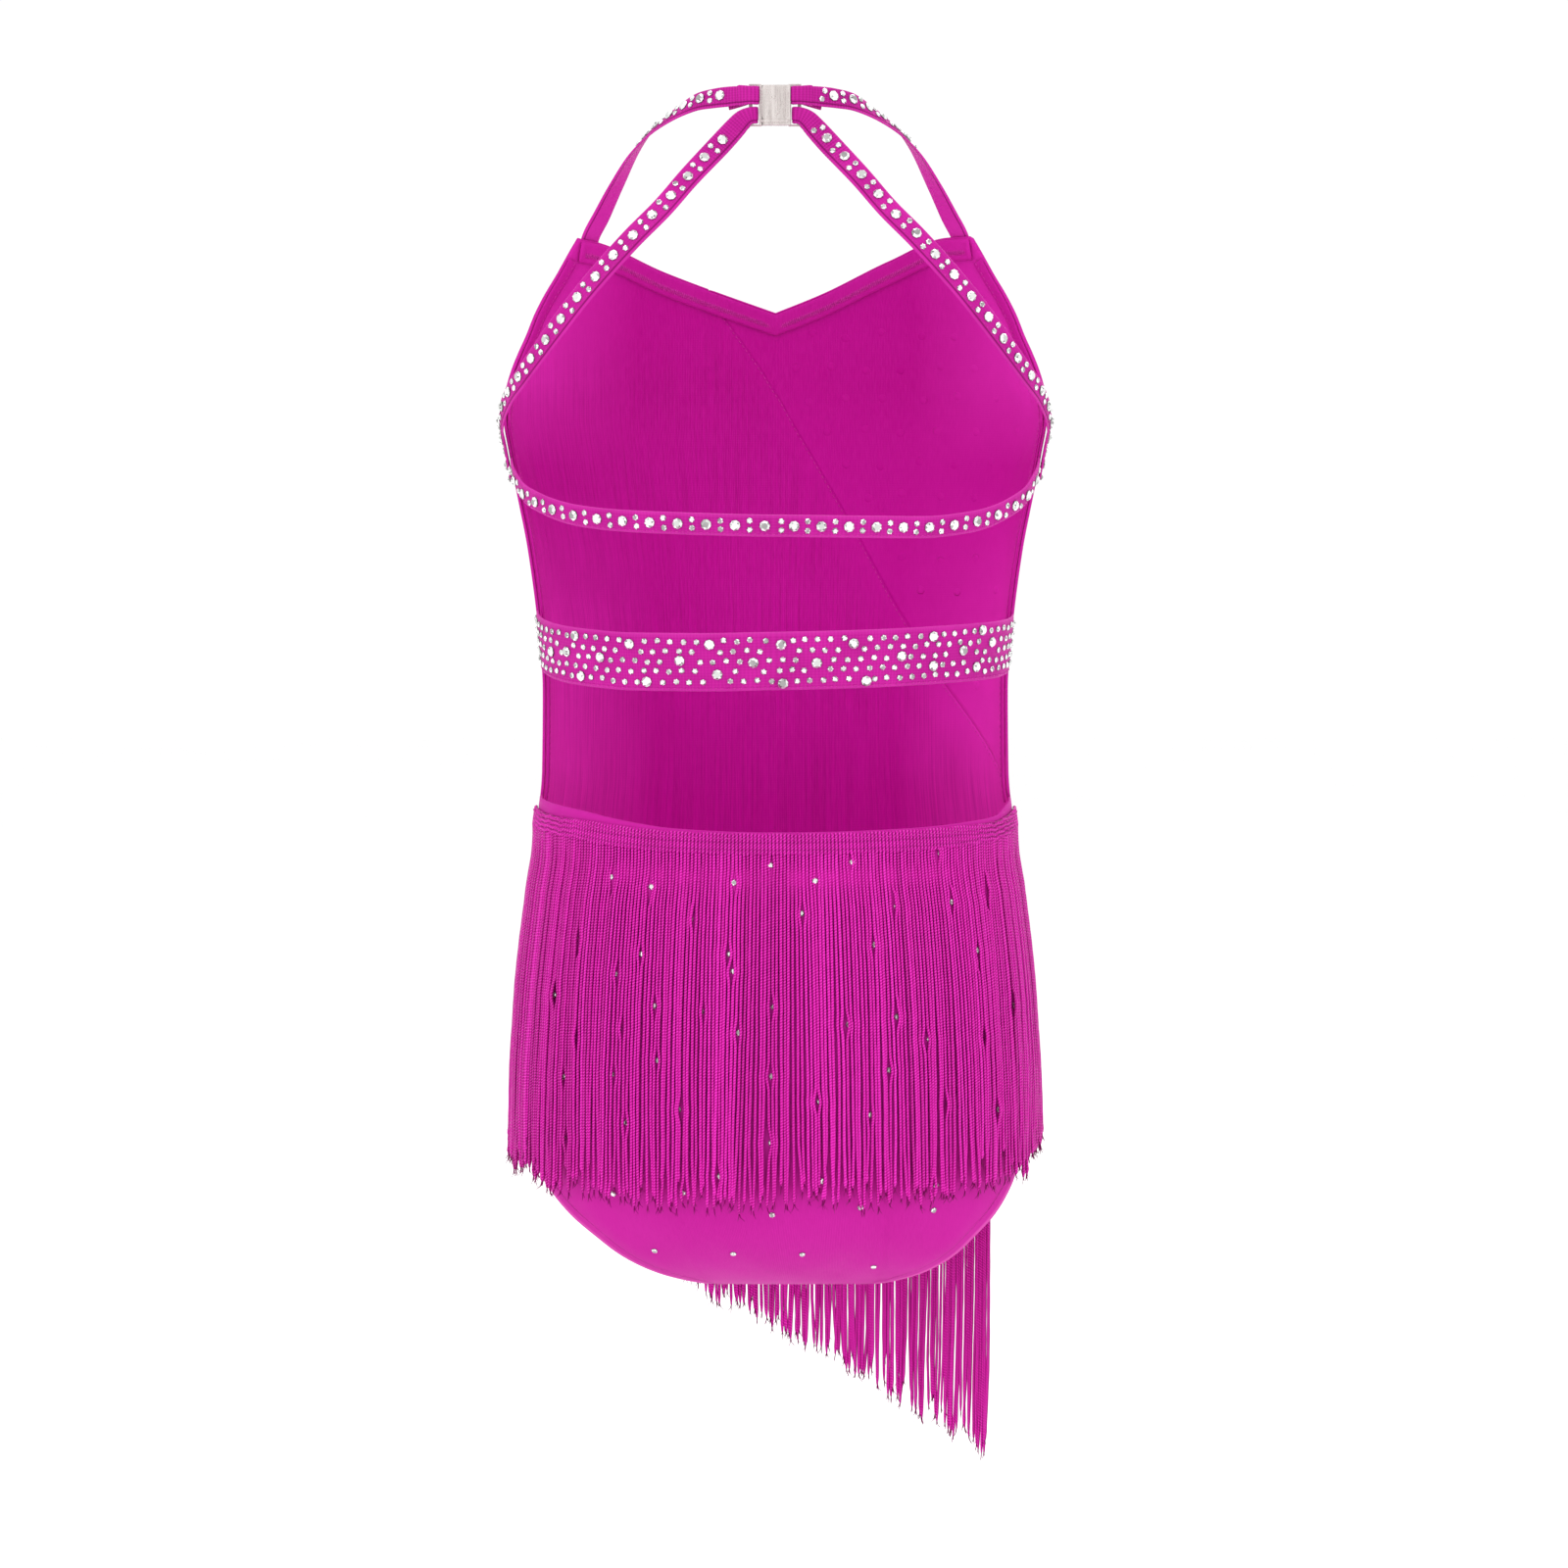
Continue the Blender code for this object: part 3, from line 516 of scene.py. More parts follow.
def elastic_finish():
    """Cloth-covered elastic: fine cross ribs with painted shade between them, deepest by the clasp, and turned
    edges paler with a painted highlight.
    """
    made = Finish("Covered_elastic", Roughness=0.55, Specular_IOR_Level=0.1, Sheen_Weight=0.06, Sheen_Roughness=0.4,
                  Sheen_Tint=SHEEN_TINT)
    split = made.add("SeparateXYZ", {"Vector": made.attribute("cloth").outputs["Vector"]})
    along, across, rim = split.outputs
    ribbed = made.attribute("ribbed").outputs["Fac"]
    place = made.place()
    pale = made.attribute("pale").outputs["Fac"]
    tone = made.mix(made.range(made.noise(place, 60.0, 3.0), 0.3, 0.7, 0.0, 0.7), (*linear(198, 26, 154), 1),
                    (*linear(172, 8, 130), 1))
    # Painted shade between the cross ribs, strongest by the clasp, alongside the ribs' bump.
    ribs = made.math("SINE", made.math("MULTIPLY", along, 2 * math.pi / 1.4))
    plain = made.math("SUBTRACT", 1.0, pale)
    deep = made.math("MULTIPLY", made.range(ribbed, 0, 1, 0.08, 0.55), plain)
    tone = made.mix(made.math("MULTIPLY", made.range(ribs, -1, 1), deep), tone, (*linear(146, 2, 108), 1))
    lines = made.math("SINE", made.math("MULTIPLY", across, 2 * math.pi / 1.3))
    tone = made.mix(made.range(lines, -1, 1, 0.0, 0.08), tone, (*linear(232, 86, 196), 1))
    # Painted highlight: the turned edges (rim) are painted paler.
    tone = made.mix(made.math("MULTIPLY", rim, 0.4), tone, (*linear(214, 58, 174), 1))
    # Painted light: the halter's plain stretch is painted paler, as if lit through.
    tone = made.mix(pale, tone, (*linear(208, 42, 168), 1))
    # Painted shade: a dark line along the groove where the strap's second layer starts.
    layer = made.math("ABSOLUTE", made.math("SUBTRACT", across, LAYER_LINE))
    made.set("Base Color", made.mix(made.range(layer, 0.15, 0.5, 0.8, 0.0), tone, (*linear(118, 0, 84), 1)))
    height = made.math("MULTIPLY", made.math("MULTIPLY", ribs, made.range(ribbed, 0, 1, 0.1, 1.3)), plain)
    made.set("Normal", made.bump(height, 0.00010, 0.8))
    return made.material


def cord_finish():
    """Twisted rayon cord: slanting plies with painted highlights on their crests, and painted shade in their
    grooves and on each cord's sides, where cords meet.
    """
    made = Finish("Twisted_cord", Roughness=0.45, Specular_IOR_Level=0.12, Sheen_Weight=0.02, Sheen_Roughness=0.3,
                  Sheen_Tint=SHEEN_TINT)
    split = made.add("SeparateXYZ", {"Vector": made.add("UVMap", uv_map="Twist").outputs[0]})
    round_it, along, _ = split.outputs
    shade = made.attribute("shade").outputs["Fac"]
    turns = made.math("SUBTRACT", made.math("DIVIDE", along, PLY_SPACING), made.math("MULTIPLY", round_it, 2.0))
    ply = made.range(made.math("SINE", made.math("MULTIPLY", turns, 2 * math.pi)), -1, 1)
    facing = made.math("ABSOLUTE", made.math("SINE", made.math("MULTIPLY", round_it, 2 * math.pi)))
    # shade holds each cord's random tone and painted shade towards the garment's sides.
    base = made.ramp(shade, (0.0, linear(188, 0, 138)), (0.5, linear(220, 10, 168)), (1.0, linear(240, 34, 192)))
    # Painted shade in the ply grooves, then painted highlights on the ply crests.
    tone = made.mix(made.range(ply, 0.0, 0.6, 0.5, 0.0), base, (*linear(150, 0, 108), 1))
    tone = made.mix(made.range(ply, 0.6, 1.0, 0.0, 0.5), tone, (*linear(255, 84, 216), 1))
    # Painted shade on each cord's sides, where the cords meet.
    made.set("Base Color", made.mix(made.range(facing, 0.0, 0.75, 0.85, 0.0), tone, (*linear(118, 0, 82), 1)))
    fibre = made.noise(made.scaled(made.place(), 2500, 2500, 900), 1.0, 2.0)
    height = made.math("ADD", ply, made.math("MULTIPLY", fibre, 0.2))
    made.set("Normal", made.bump(height, 0.00030, 0.9))
    return made.material


def braid_finish():
    """The fringe's heading: cords' loops side by side, with painted shade between them, and their plies'
    slanting crests with painted highlights.
    """
    made = Finish("Woven_heading", Roughness=0.5, Specular_IOR_Level=0.14, Sheen_Weight=0.06, Sheen_Roughness=0.35,
                  Sheen_Tint=SHEEN_TINT)
    split = made.add("SeparateXYZ", {"Vector": made.attribute("cloth").outputs["Vector"]})
    along, down, crown = split.outputs
    place = made.place()
    tone = made.mix(made.range(made.noise(place, 80.0, 3.0), 0.3, 0.7), (*linear(204, 4, 155), 1),
                    (*linear(228, 18, 179), 1))
    slant = made.math("SINE", made.math("MULTIPLY", made.math("ADD", made.math("MULTIPLY", along, 0.7), down),
                                        2 * math.pi / PLY_SPACING))
    # Painted highlights on the plies' crests and painted shade in their troughs.
    tone = made.mix(made.range(slant, 0.0, 1.0, 0.0, 0.5), tone, (*linear(255, 92, 216), 1))
    tone = made.mix(made.range(slant, -1.0, -0.2, 0.3, 0.0), tone, (*linear(164, 0, 120), 1))
    # Painted shade where the crown is low: between the loops and along the sewn rows.
    made.set("Base Color", made.mix(made.range(crown, 0.2, 0.8, 0.9, 0.0), tone, (*linear(130, 0, 92), 1)))
    fibre = made.noise(made.scaled(place, 2200, 2200, 2200), 1.0, 2.0)
    height = made.math("ADD", made.math("MULTIPLY", fibre, 0.4), slant)
    made.set("Normal", made.bump(height, 0.00022, 0.8))
    return made.material


def thread_finish():
    made = Finish("Sewing_thread", Roughness=0.5, Specular_IOR_Level=0.2, Sheen_Weight=0.08, Sheen_Roughness=0.3,
                  Sheen_Tint=SHEEN_TINT)
    place = made.place()
    twist = made.noise(made.scaled(place, 2600, 2600, 2600), 1.0, 2.0)
    made.set("Base Color", made.mix(made.range(twist, 0.35, 0.65), (*linear(190, 24, 146), 1), (*linear(222, 62, 180), 1)))
    made.set("Normal", made.bump(twist, 0.00006, 0.6))
    return made.material


def stone_finish():
    """Foil-backed glass: each facet's tone is a painted reflection, with the girdle painted dark, and noise adds
    painted glints.
    """
    made = Finish("Rhinestone", Metallic=0.7, Roughness=0.12, Coat_Weight=0.4, Coat_Roughness=0.03)
    facet = made.attribute("facet").outputs["Fac"]
    # Painted glints: noise spots that pale the facets.
    glint = made.noise(made.scaled(made.place(), 700, 700, 700), 1.0, 2.0)
    tone = made.ramp(facet, (0.0, linear(84, 74, 80)), (0.3, linear(168, 166, 166)), (0.6, linear(220, 224, 220)),
                     (1.0, linear(255, 255, 255)))
    made.set("Base Color", made.mix(made.range(glint, 0.5, 0.75, 0.0, 0.35), tone, (*linear(196, 206, 200), 1)))
    return made.material


def clear_finish():
    """Clear moulded plastic, a little clouded, streaked from top to bottom."""
    made = Finish("Clear_plastic", Roughness=0.2, IOR=1.46, Transmission_Weight=0.1, Coat_Weight=0.15,
                  Coat_Roughness=0.12)
    place = made.place()
    depth = made.attribute("facet").outputs["Fac"]
    streak = made.noise(made.scaled(place, 520, 520, 70), 1.0, 3.0, 0.6)
    tone = made.mix(made.range(streak, 0.34, 0.66), (*linear(219, 211, 208), 1), (*linear(196, 187, 184), 1))
    x, _, z = made.add("SeparateXYZ", {"Vector": place}).outputs
    level = made.math("ADD", z, 0.0003)
    # Painted shade on the clasp's bars past 7.2 mm out, where the strap loops wrap them, deepest over their middle.
    beside = made.range(made.math("ABSOLUTE", x), 0.0066, 0.0072)
    notch = made.math("MULTIPLY", beside, made.range(made.math("ABSOLUTE", level), 0.0036, 0.0046, 0.75, 0.2))
    # Painted light: a pink cast along the clasp's lower edge, from the magenta elastic.
    under = made.range(z, -0.0086, -0.0089, 0.0, 0.5)
    tone = made.mix(notch, tone, (*linear(146, 124, 120), 1))
    tone = made.mix(under, tone, (*linear(176, 128, 150), 1))
    made.set("Base Color", made.mix(depth, tone, (*linear(128, 112, 112), 1)))
    made.set("Roughness", made.range(streak, 0.35, 0.7, 0.24, 0.36))
    made.set("Normal", made.bump(streak, 0.0004, 0.35))
    return made.material


def floor_finish():
    made = Finish("Pale_floor", Roughness=0.9, Specular_IOR_Level=0.1)
    grain = made.noise(made.place(), 3.0, 3.0)
    made.set("Base Color", made.mix(grain, grey(0.965), grey(0.985)))
    return made.material


CLOTH_FINISH = cloth_finish()
ELASTIC_FINISH = elastic_finish()
CORD_FINISH = cord_finish()
BRAID_FINISH = braid_finish()
THREAD_FINISH = thread_finish()
STONE_FINISH = stone_finish()
CLEAR_FINISH = clear_finish()


# Meshes.
def piece(name, points, faces, finish, replaces=None, smooth=True):
    """A mesh of the object, from points in millimetres, that rides on the one body."""
    mesh = bpy.data.meshes.new(name)
    mesh.from_pydata((np.asarray(points).reshape(-1, 3) * MM).tolist(), [], [list(map(int, f)) for f in faces])
    mesh.materials.append(finish)
    mesh.update()
    if smooth:
        mesh.shade_smooth()
    made = bpy.data.objects.new(name, mesh)
    bpy.context.scene.collection.objects.link(made)
    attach(made, "root")
    if replaces:
        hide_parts(replaces)
    return made


def store(made, name, kind, values, domain="POINT"):
    """Writes an attribute of the mesh, one number or one vector a point, that a material reads."""
    layer = made.data.attributes.new(name, kind, domain)
    flat = np.asarray(values, np.float32).ravel()
    layer.data.foreach_set("value" if kind == "FLOAT" else "vector", flat)


def grid_faces(rows, columns, first=0, flipped=False, wrap=False):
    """Quads of a grid of points, counted row by row."""
    r, c = np.meshgrid(np.arange(rows - 1), np.arange(columns - (0 if wrap else 1)), indexing="ij")
    right = (c + 1) % columns
    quads = np.stack([r * columns + c, r * columns + right, (r + 1) * columns + right, (r + 1) * columns + c], -1)
    quads = quads.reshape(-1, 4) + first
    return quads[:, ::-1] if flipped else quads


def border(rows, columns):
    """The points round a grid's edge, in order."""
    top = [(0, c) for c in range(columns)]
    right = [(r, columns - 1) for r in range(1, rows)]
    bottom = [(rows - 1, c) for c in range(columns - 2, -1, -1)]
    left = [(r, 0) for r in range(rows - 2, 0, -1)]
    return np.array(top + right + bottom + left)


def wall(name, inner, outer, finish, replaces=None, flipped=False, bulge=0.35):
    """A thin closed wall between two grids of points, with a rounded rim. Returns the object."""
    rows, columns = inner.shape[:2]
    count = rows * columns
    ring = border(rows, columns)
    r, c = ring[:, 0], ring[:, 1]
    edge_in, edge_out = inner[r, c], outer[r, c]
    inside_r = np.clip(r, 1, rows - 2) if rows > 2 else r
    inside_c = np.clip(c, 1, columns - 2) if columns > 2 else c
    away = unit(edge_out - outer[inside_r, inside_c])
    thickness = np.linalg.norm(edge_out - edge_in, axis=1, keepdims=True)
    rim = (edge_in + edge_out) / 2 + away * thickness * bulge
    points = np.concatenate([inner.reshape(-1, 3), outer.reshape(-1, 3), rim])
    faces = [grid_faces(rows, columns, 0, not flipped), grid_faces(rows, columns, count, flipped)]
    near = r * columns + c
    n = len(ring)
    k = np.arange(n)
    after = (k + 1) % n
    mid, mid_after = 2 * count + k, 2 * count + after
    out_side = np.stack([near + count, mid, mid_after, near[after] + count], -1)
    in_side = np.stack([near, near[after], mid_after, mid], -1)
    if flipped:
        out_side, in_side = out_side[:, ::-1], in_side[:, ::-1]
    faces = np.concatenate([*faces, out_side, in_side])
    made = piece(name, points, faces, finish, replaces)
    made["border"] = n
    return made


def even_stops(start, end, count, fixed=()):
    marks = [start, *sorted(a for a in fixed if start < a < end), end]
    stops = [start]
    for low, high in zip(marks, marks[1:]):
        parts = max(1, round(count * (high - low) / (end - start)))
        stops += [low + (high - low) * k / parts for k in range(1, parts + 1)]
    return np.array(stops)


def distance_to(points, line):
    """(distance, length along) of the nearest place on a line, for many points."""
    along = np.concatenate([[0], np.cumsum(np.linalg.norm(np.diff(line, axis=0), axis=1))])
    flat = points.reshape(-1, 3)
    near, where = np.empty(len(flat)), np.empty(len(flat))
    for k in range(0, len(flat), 4000):
        gaps = np.linalg.norm(flat[k:k + 4000, None] - line[None], axis=2)
        near[k:k + 4000] = gaps.min(1)
        where[k:k + 4000] = along[gaps.argmin(1)]
    return near, where


def panel(name, half, angles, top, bottom, rows, replaces, thickness=CLOTH, lift=0.0, finish=None,
          lines=None, hem=None):
    """A piece of the garment between two edges. lines(angle, down) says how strongly the painted shadow of the
    fringe outside shows through, and hem is the line of a turned edge."""
    share = np.linspace(0, 1, rows)[:, None]
    angle = np.broadcast_to(angles, (rows, len(angles)))
    high, low = top(angle), bottom(angle)
    down = high + (low - high) * share
    inner = on_cloth(angle, down, half, lift)
    outer = on_cloth(angle, down, half, lift + thickness)
    made = wall(name, inner, outer, finish or CLOTH_FINISH, replaces, flipped=half == BACK)
    across = angle * ACROSS_A_DEGREE
    ring = border(*inner.shape[:2])
    coordinates = [
        np.stack([across, down, np.full_like(down, side)], -1).reshape(-1, 3) for side in (0.0, 1.0)
    ]
    coordinates.append(coordinates[1].reshape(*inner.shape)[ring[:, 0], ring[:, 1]])
    store(made, "cloth", "FLOAT_VECTOR", np.concatenate(coordinates))
    shown = lines(angle, down) if lines else np.zeros_like(down)
    if hem is None:
        near, where = np.full(down.size, 50.0), np.zeros(down.size)
    else:
        near, where = distance_to(outer, hem)
    marks = [
        np.stack([(shown * (side == 0)).ravel(), near, where], -1) for side in (0, 1)
    ]
    marks.append(marks[1].reshape(*inner.shape)[ring[:, 0], ring[:, 1]])
    store(made, "marks", "FLOAT_VECTOR", np.concatenate(marks))
    return made


# Stitches and stones, each gathered into a joined mesh.
class Gather:
    """Many small things in one mesh."""

    def __init__(self):
        self.points, self.faces, self.facets, self.count = [], [], [], 0

    def add(self, points, faces, facets=()):
        self.points.append(np.asarray(points, float))
        self.faces += [tuple(int(i) + self.count for i in face) for face in faces]
        self.facets += list(facets)
        self.count += len(points)

    def build(self, name, finish, slot, smooth=True):
        made = piece(name, np.concatenate(self.points), self.faces, finish, smooth=smooth)
        if self.facets:
            store(made, "facet", "FLOAT", self.facets, "FACE")
        return made


def stitch(gather, start, end, up, radius=0.2):
    """One raised stitch between two points, with its ends sunk."""
    ahead = unit(end - start)
    side = unit(np.cross(ahead, up))
    rings = []
    for share, height, width in ((0.0, -0.12, 0.5), (0.22, 0.12, 1.0), (0.78, 0.12, 1.0), (1.0, -0.12, 0.5)):
        centre = start + (end - start) * share + up * height
        r = radius * width
        rings += [centre + side * r, centre + up * r * 0.9, centre - side * r, centre - up * r * 0.5]
    faces = [(0, 1, 2, 3), (15, 14, 13, 12)]
    for k in range(3):
        a = 4 * k
        faces += [(a + j, a + 4 + j, a + 4 + (j + 1) % 4, a + (j + 1) % 4) for j in range(4)]
    gather.add(rings, faces)


def resample(line, spacing):
    """(points, fractional places) at an even spacing along a polyline."""
    lengths = np.concatenate([[0], np.cumsum(np.linalg.norm(np.diff(line, axis=0), axis=1))])
    marks = np.arange(0, lengths[-1], spacing)
    return np.stack([np.interp(marks, lengths, line[:, k]) for k in range(line.shape[1])], -1)


def stitch_line(gather, line, ups, length=1.9, gap=0.7, radius=0.2):
    """Straight stitches along a line, given its upward directions."""
    both = resample(np.concatenate([line, ups], 1), length + gap)
    for here, there in zip(both, both[1:]):
        start, end = here[:3], there[:3]
        start_up = unit(here[3:])
        stitch(gather, start, start + (end - start) * length / (length + gap), start_up, radius)


def zigzag(gather, upper, lower, ups, pitch=1.7, radius=0.17):
    """A zigzag stitch between two lines that run side by side."""
    both = resample(np.concatenate([upper, lower, ups], 1), pitch / 2)
    for k, (here, there) in enumerate(zip(both, both[1:])):
        a, b = (here[:3], there[3:6]) if k % 2 else (here[3:6], there[:3])
        stitch(gather, a, b, unit(here[6:]), radius)


def stone(gather, centre, up, diameter, draw, turn=None):
    """A flat-backed cut stone: a girdle, eight main facets, eight star facets and a table."""
    sides = 8 if diameter > 3.5 else 6
    up = unit(np.asarray(up, float))
    helper = np.array([1.0, 0, 0]) if abs(up[0]) < 0.8 else np.array([0, 1.0, 0])
    side = unit(np.cross(up, helper))
    other = np.cross(up, side)
    turn = draw.uniform(0, math.pi) if turn is None else turn
    rings = []
    for radius, height, offset in ((0.52, -0.05, 0), (0.52, 0.10, 0), (0.5, 0.15, 0), (0.3, 0.33, 0.5)):
        for k in range(sides):
            a = turn + 2 * math.pi * (k + offset) / sides
            rings.append(centre + (side * math.cos(a) + other * math.sin(a)) * radius * diameter + up * height * diameter)
    n, faces, facets = sides, [], []
    # Each facet's value is a painted reflection of its own brightness; the girdle's are dark.
    for level, tones in ((0, (0.0, 0.1, 0.2)), (1, (0.2, 0.35, 0.8))):
        for k in range(n):
            a, b = level * n + k, level * n + (k + 1) % n
            faces.append((a, b, b + n, a + n))
            facets.append(draw.choice(tones))
    for k in range(n):
        low, high = 2 * n + k, 3 * n + k
        faces.append((low, 2 * n + (k + 1) % n, high))
        facets.append(draw.choice((0.3, 0.6, 0.8, 0.95, 1.0)))
        faces.append((2 * n + (k + 1) % n, 3 * n + (k + 1) % n, high))
        facets.append(draw.choice((0.1, 0.4, 0.75, 0.95, 1.0)))
    faces.append(tuple(3 * n + k for k in range(n)))
    facets.append(draw.choice((0.25, 0.5, 0.75, 1.0)))
    faces.append(tuple(k for k in range(n - 1, -1, -1)))
    facets.append(0.3)
    gather.add(rings, faces, facets)


# The front, brief and bands.
def leg_line(table, half, side, count=220, lift=CLOTH):
    angles = np.linspace(table[0].angle, 90, count)
    return on_cloth(side * angles, edge_at(table, angles), half, lift)


def leg_bottom(table):
    return lambda angle: np.where(np.abs(angle) <= table[0].angle, CROTCH, edge_at(table, angle))


def below_seam(angle, down):
    """1 below and left of the front's seam, fading near the top: where the painted shadow of the fringe outside shows.
    """
    return np.clip((down - np.where(angle < SEAM_START, 95.0, seam_at(angle))) / 30, 0, 1)


def build_cloth():
    neck_marks = (-NECK_CORNER.angle, 0.0, NECK_CORNER.angle)
    leg_marks = [side * FRONT_LEG[0].angle for side in (-1, 1)]
    seam_marks = (SEAM_START, SEAM_START + 0.3)
    upper = panel("front_upper_right_cloth", FRONT, even_stops(SEAM_START + 0.3, 90.0, 110, neck_marks), front_top,
                  lambda a: seam_at(a) - SEAM_CLEARANCE, 70, "front_upper_right")
    both_legs = np.concatenate([leg_line(FRONT_LEG, FRONT, -1)[::-1], leg_line(FRONT_LEG, FRONT, 1)])
    main = panel("front_main_cloth", FRONT, even_stops(-90.0, 90.0, 130, (*neck_marks, *leg_marks, *seam_marks)),
                 lambda a: np.where(a <= SEAM_START + 1e-6, front_top(a), seam_at(a) + SEAM_CLEARANCE),
                 leg_bottom(FRONT_LEG), 130, "front_main", lines=below_seam, hem=both_legs)
    both_legs = np.concatenate([leg_line(BACK_LEG, BACK, -1)[::-1], leg_line(BACK_LEG, BACK, 1)])
    brief = panel("back_brief_cloth", BACK, even_stops(-90.0, 90.0, 120, [s * BACK_LEG[0].angle for s in (-1, 1)]),
                  lambda a: edge_at(BRIEF_TOP, a), leg_bottom(BACK_LEG), 90, "back_brief", hem=both_legs)
    return upper, main, brief


def band(name, line, height, columns, rows, replaces):
    """A band across the back, a little crowned, with its edges turned."""
    angles = np.linspace(-90, 90, columns)
    share = np.linspace(-0.5, 0.5, rows)[:, None]
    angle = np.broadcast_to(angles, (rows, columns))
    down = edge_at(line, angle) + share * height
    crown = BAND_THICKNESS - 0.28 * (2 * np.abs(share)) ** 6
    inner = on_cloth(angle, down, BACK, 0)
    outer = on_cloth(angle, down, BACK, np.broadcast_to(crown, angle.shape))
    made = wall(name, inner, outer, ELASTIC_FINISH, replaces, flipped=True)
    along = angle * ACROSS_A_DEGREE
    # rim: where the painted highlight of the turned edges falls.
    rim = np.broadcast_to(np.clip((np.abs(share) * height - height / 2 + 0.7) / 0.7, 0, 1), angle.shape)
    one = np.stack([along, np.broadcast_to(share * height, angle.shape), rim], -1)
    ring = border(rows, columns)
    store(made, "cloth", "FLOAT_VECTOR", np.concatenate([
        one.reshape(-1, 3), one.reshape(-1, 3), one[ring[:, 0], ring[:, 1]]]))
    store(made, "ribbed", "FLOAT", np.full(len(made.data.vertices), 0.35))
    return made


def build_bands():
    upper = band("upper_band_elastic", UPPER_BAND, UPPER_BAND_HEIGHT, 240, 9, "upper_band")
    waist = band("waist_band_elastic", WAIST_BAND, WAIST_BAND_HEIGHT, 220, 19, "waist_band")
    return upper, waist


def neck_binding():
    limit = NECK_CORNER.angle - 1.2
    angles = even_stops(-limit, limit, 200, (0.0,))
    rows = 9
    share = np.linspace(0, 1, rows)[:, None]
    angle = np.broadcast_to(angles, (rows, len(angles)))
    high, low = front_top(angle) + GAP, front_top(angle) + NECK_BINDING_HEIGHT
    down = high + (low - high) * share
    puff = 0.25 * np.sin(math.pi * np.clip(share, 0, 1)) ** 0.5
    fold = 0.5 * np.exp(-((angle / 0.9) ** 2)) + 0.7 * np.exp(-(((np.abs(angle) - limit + 0.6) / 0.9) ** 2))
    puff = puff + fold * np.sin(math.pi * share)
    outer = on_cloth(angle, down, FRONT, -NECK_BINDING_INSET)
    inner = on_cloth(angle, down, FRONT, -NECK_BINDING_INSET - BINDING_THICKNESS - np.broadcast_to(puff, angle.shape))
    made = wall("neck_binding_elastic", inner, outer, CLOTH_FINISH, "neck_binding")
    one = np.stack([angle * ACROSS_A_DEGREE, down, np.full_like(down, 0.35)], -1)
    ring = border(rows, len(angles))
    store(made, "cloth", "FLOAT_VECTOR", np.concatenate([
        one.reshape(-1, 3), one.reshape(-1, 3), one[ring[:, 0], ring[:, 1]]]))
    marks = np.zeros((len(made.data.vertices), 3), np.float32)
    marks[:, 1] = 50.0
    store(made, "marks", "FLOAT_VECTOR", marks)
    return made


def side_edge(count=260):
    """(angle, down) along the armhole and the side edge."""
    angles = np.linspace(52.5, 90, count // 2)
    downs = edge_at(ARMHOLE, angles)
    start = ARMHOLE[-1].down
    straight = np.linspace(start, SIDE_BINDING_END, count // 2 + 1)[1:]
    return np.concatenate([angles, np.full(len(straight), 90.0)]), np.concatenate([downs, straight])


def side_place(across, side, inset):
    """Points of the turned edge, some distance in from the armhole's and side's edge."""
    angle, down = side_edge()
    line = on_cloth(angle, down, FRONT)
    ahead = unit(np.gradient(line, axis=0))
    inward = unit(np.cross(outward(angle, down, FRONT), ahead))
    reach = line + inward * (across + GAP)
    height = -reach[:, 2]
    _, half_width, back, front, _ = figure_section(height)
    flat_angle = angle_at(reach[:, 0], height)
    share = np.clip((reach[:, 1] - (back + front) / 2 - GAP / 2) / ((front - back) / 2), 0, 1)
    steep = np.degrees(np.arccos(share ** (ROUNDNESS / 2)))
    blend = np.clip((angle - 80) / 6, 0, 1)
    laid_angle = flat_angle * (1 - blend) + steep * blend
    laid = on_figure(laid_angle, height, FRONT)
    up = outward(laid_angle, height, FRONT)
    laid = laid + up * -inset
    return laid * np.array([side, 1, 1]), -up * np.array([side, 1, 1])


def side_binding(name, side, replaces, stitches):
    acrosses = np.linspace(0, SIDE_BINDING_WIDTH, 7)
    inner, outer = [], []
    for across in acrosses:
        puff = 0.22 * math.sin(math.pi * across / SIDE_BINDING_WIDTH) ** 0.5
        outer.append(side_place(across, side, SIDE_BINDING_INSET)[0])
        inner.append(side_place(across, side, SIDE_BINDING_INSET + BINDING_THICKNESS + puff)[0])
    inner, outer = np.array(inner), np.array(outer)
    made = wall(name, inner, outer, CLOTH_FINISH, replaces, flipped=side > 0)
    rows, columns = inner.shape[:2]
    lengths = np.arange(columns) * 1.0
    one = np.stack([np.broadcast_to(acrosses[:, None], (rows, columns)), np.broadcast_to(lengths, (rows, columns)),
                    np.full((rows, columns), 0.5)], -1)
    ring = border(rows, columns)
    store(made, "cloth", "FLOAT_VECTOR", np.concatenate([
        one.reshape(-1, 3), one.reshape(-1, 3), one[ring[:, 0], ring[:, 1]]]))
    marks = np.zeros((len(made.data.vertices), 3), np.float32)
    marks[:, 1] = 50.0
    store(made, "marks", "FLOAT_VECTOR", marks)
    line, up = side_place(3.4, side, SIDE_BINDING_INSET + BINDING_THICKNESS + 0.2)
    stitch_line(stitches, line, up, 1.7, 0.8, 0.16)
    return made


# Straps.
def smooth_path(rows, samples):
    path = []
    rows = np.asarray(rows, float)
    for i in range(len(rows) - 1):
        before, here = rows[max(i - 1, 0)], rows[i]
        there, after = rows[i + 1], rows[min(i + 2, len(rows) - 1)]
        for t in np.arange(samples) / samples:
            path.append(0.5 * (2 * here + (there - before) * t + (2 * before - 5 * here + 4 * there - after) * t * t
                               + (3 * here - before - 3 * there + after) * t ** 3))
    return np.array([*path, rows[-1]])


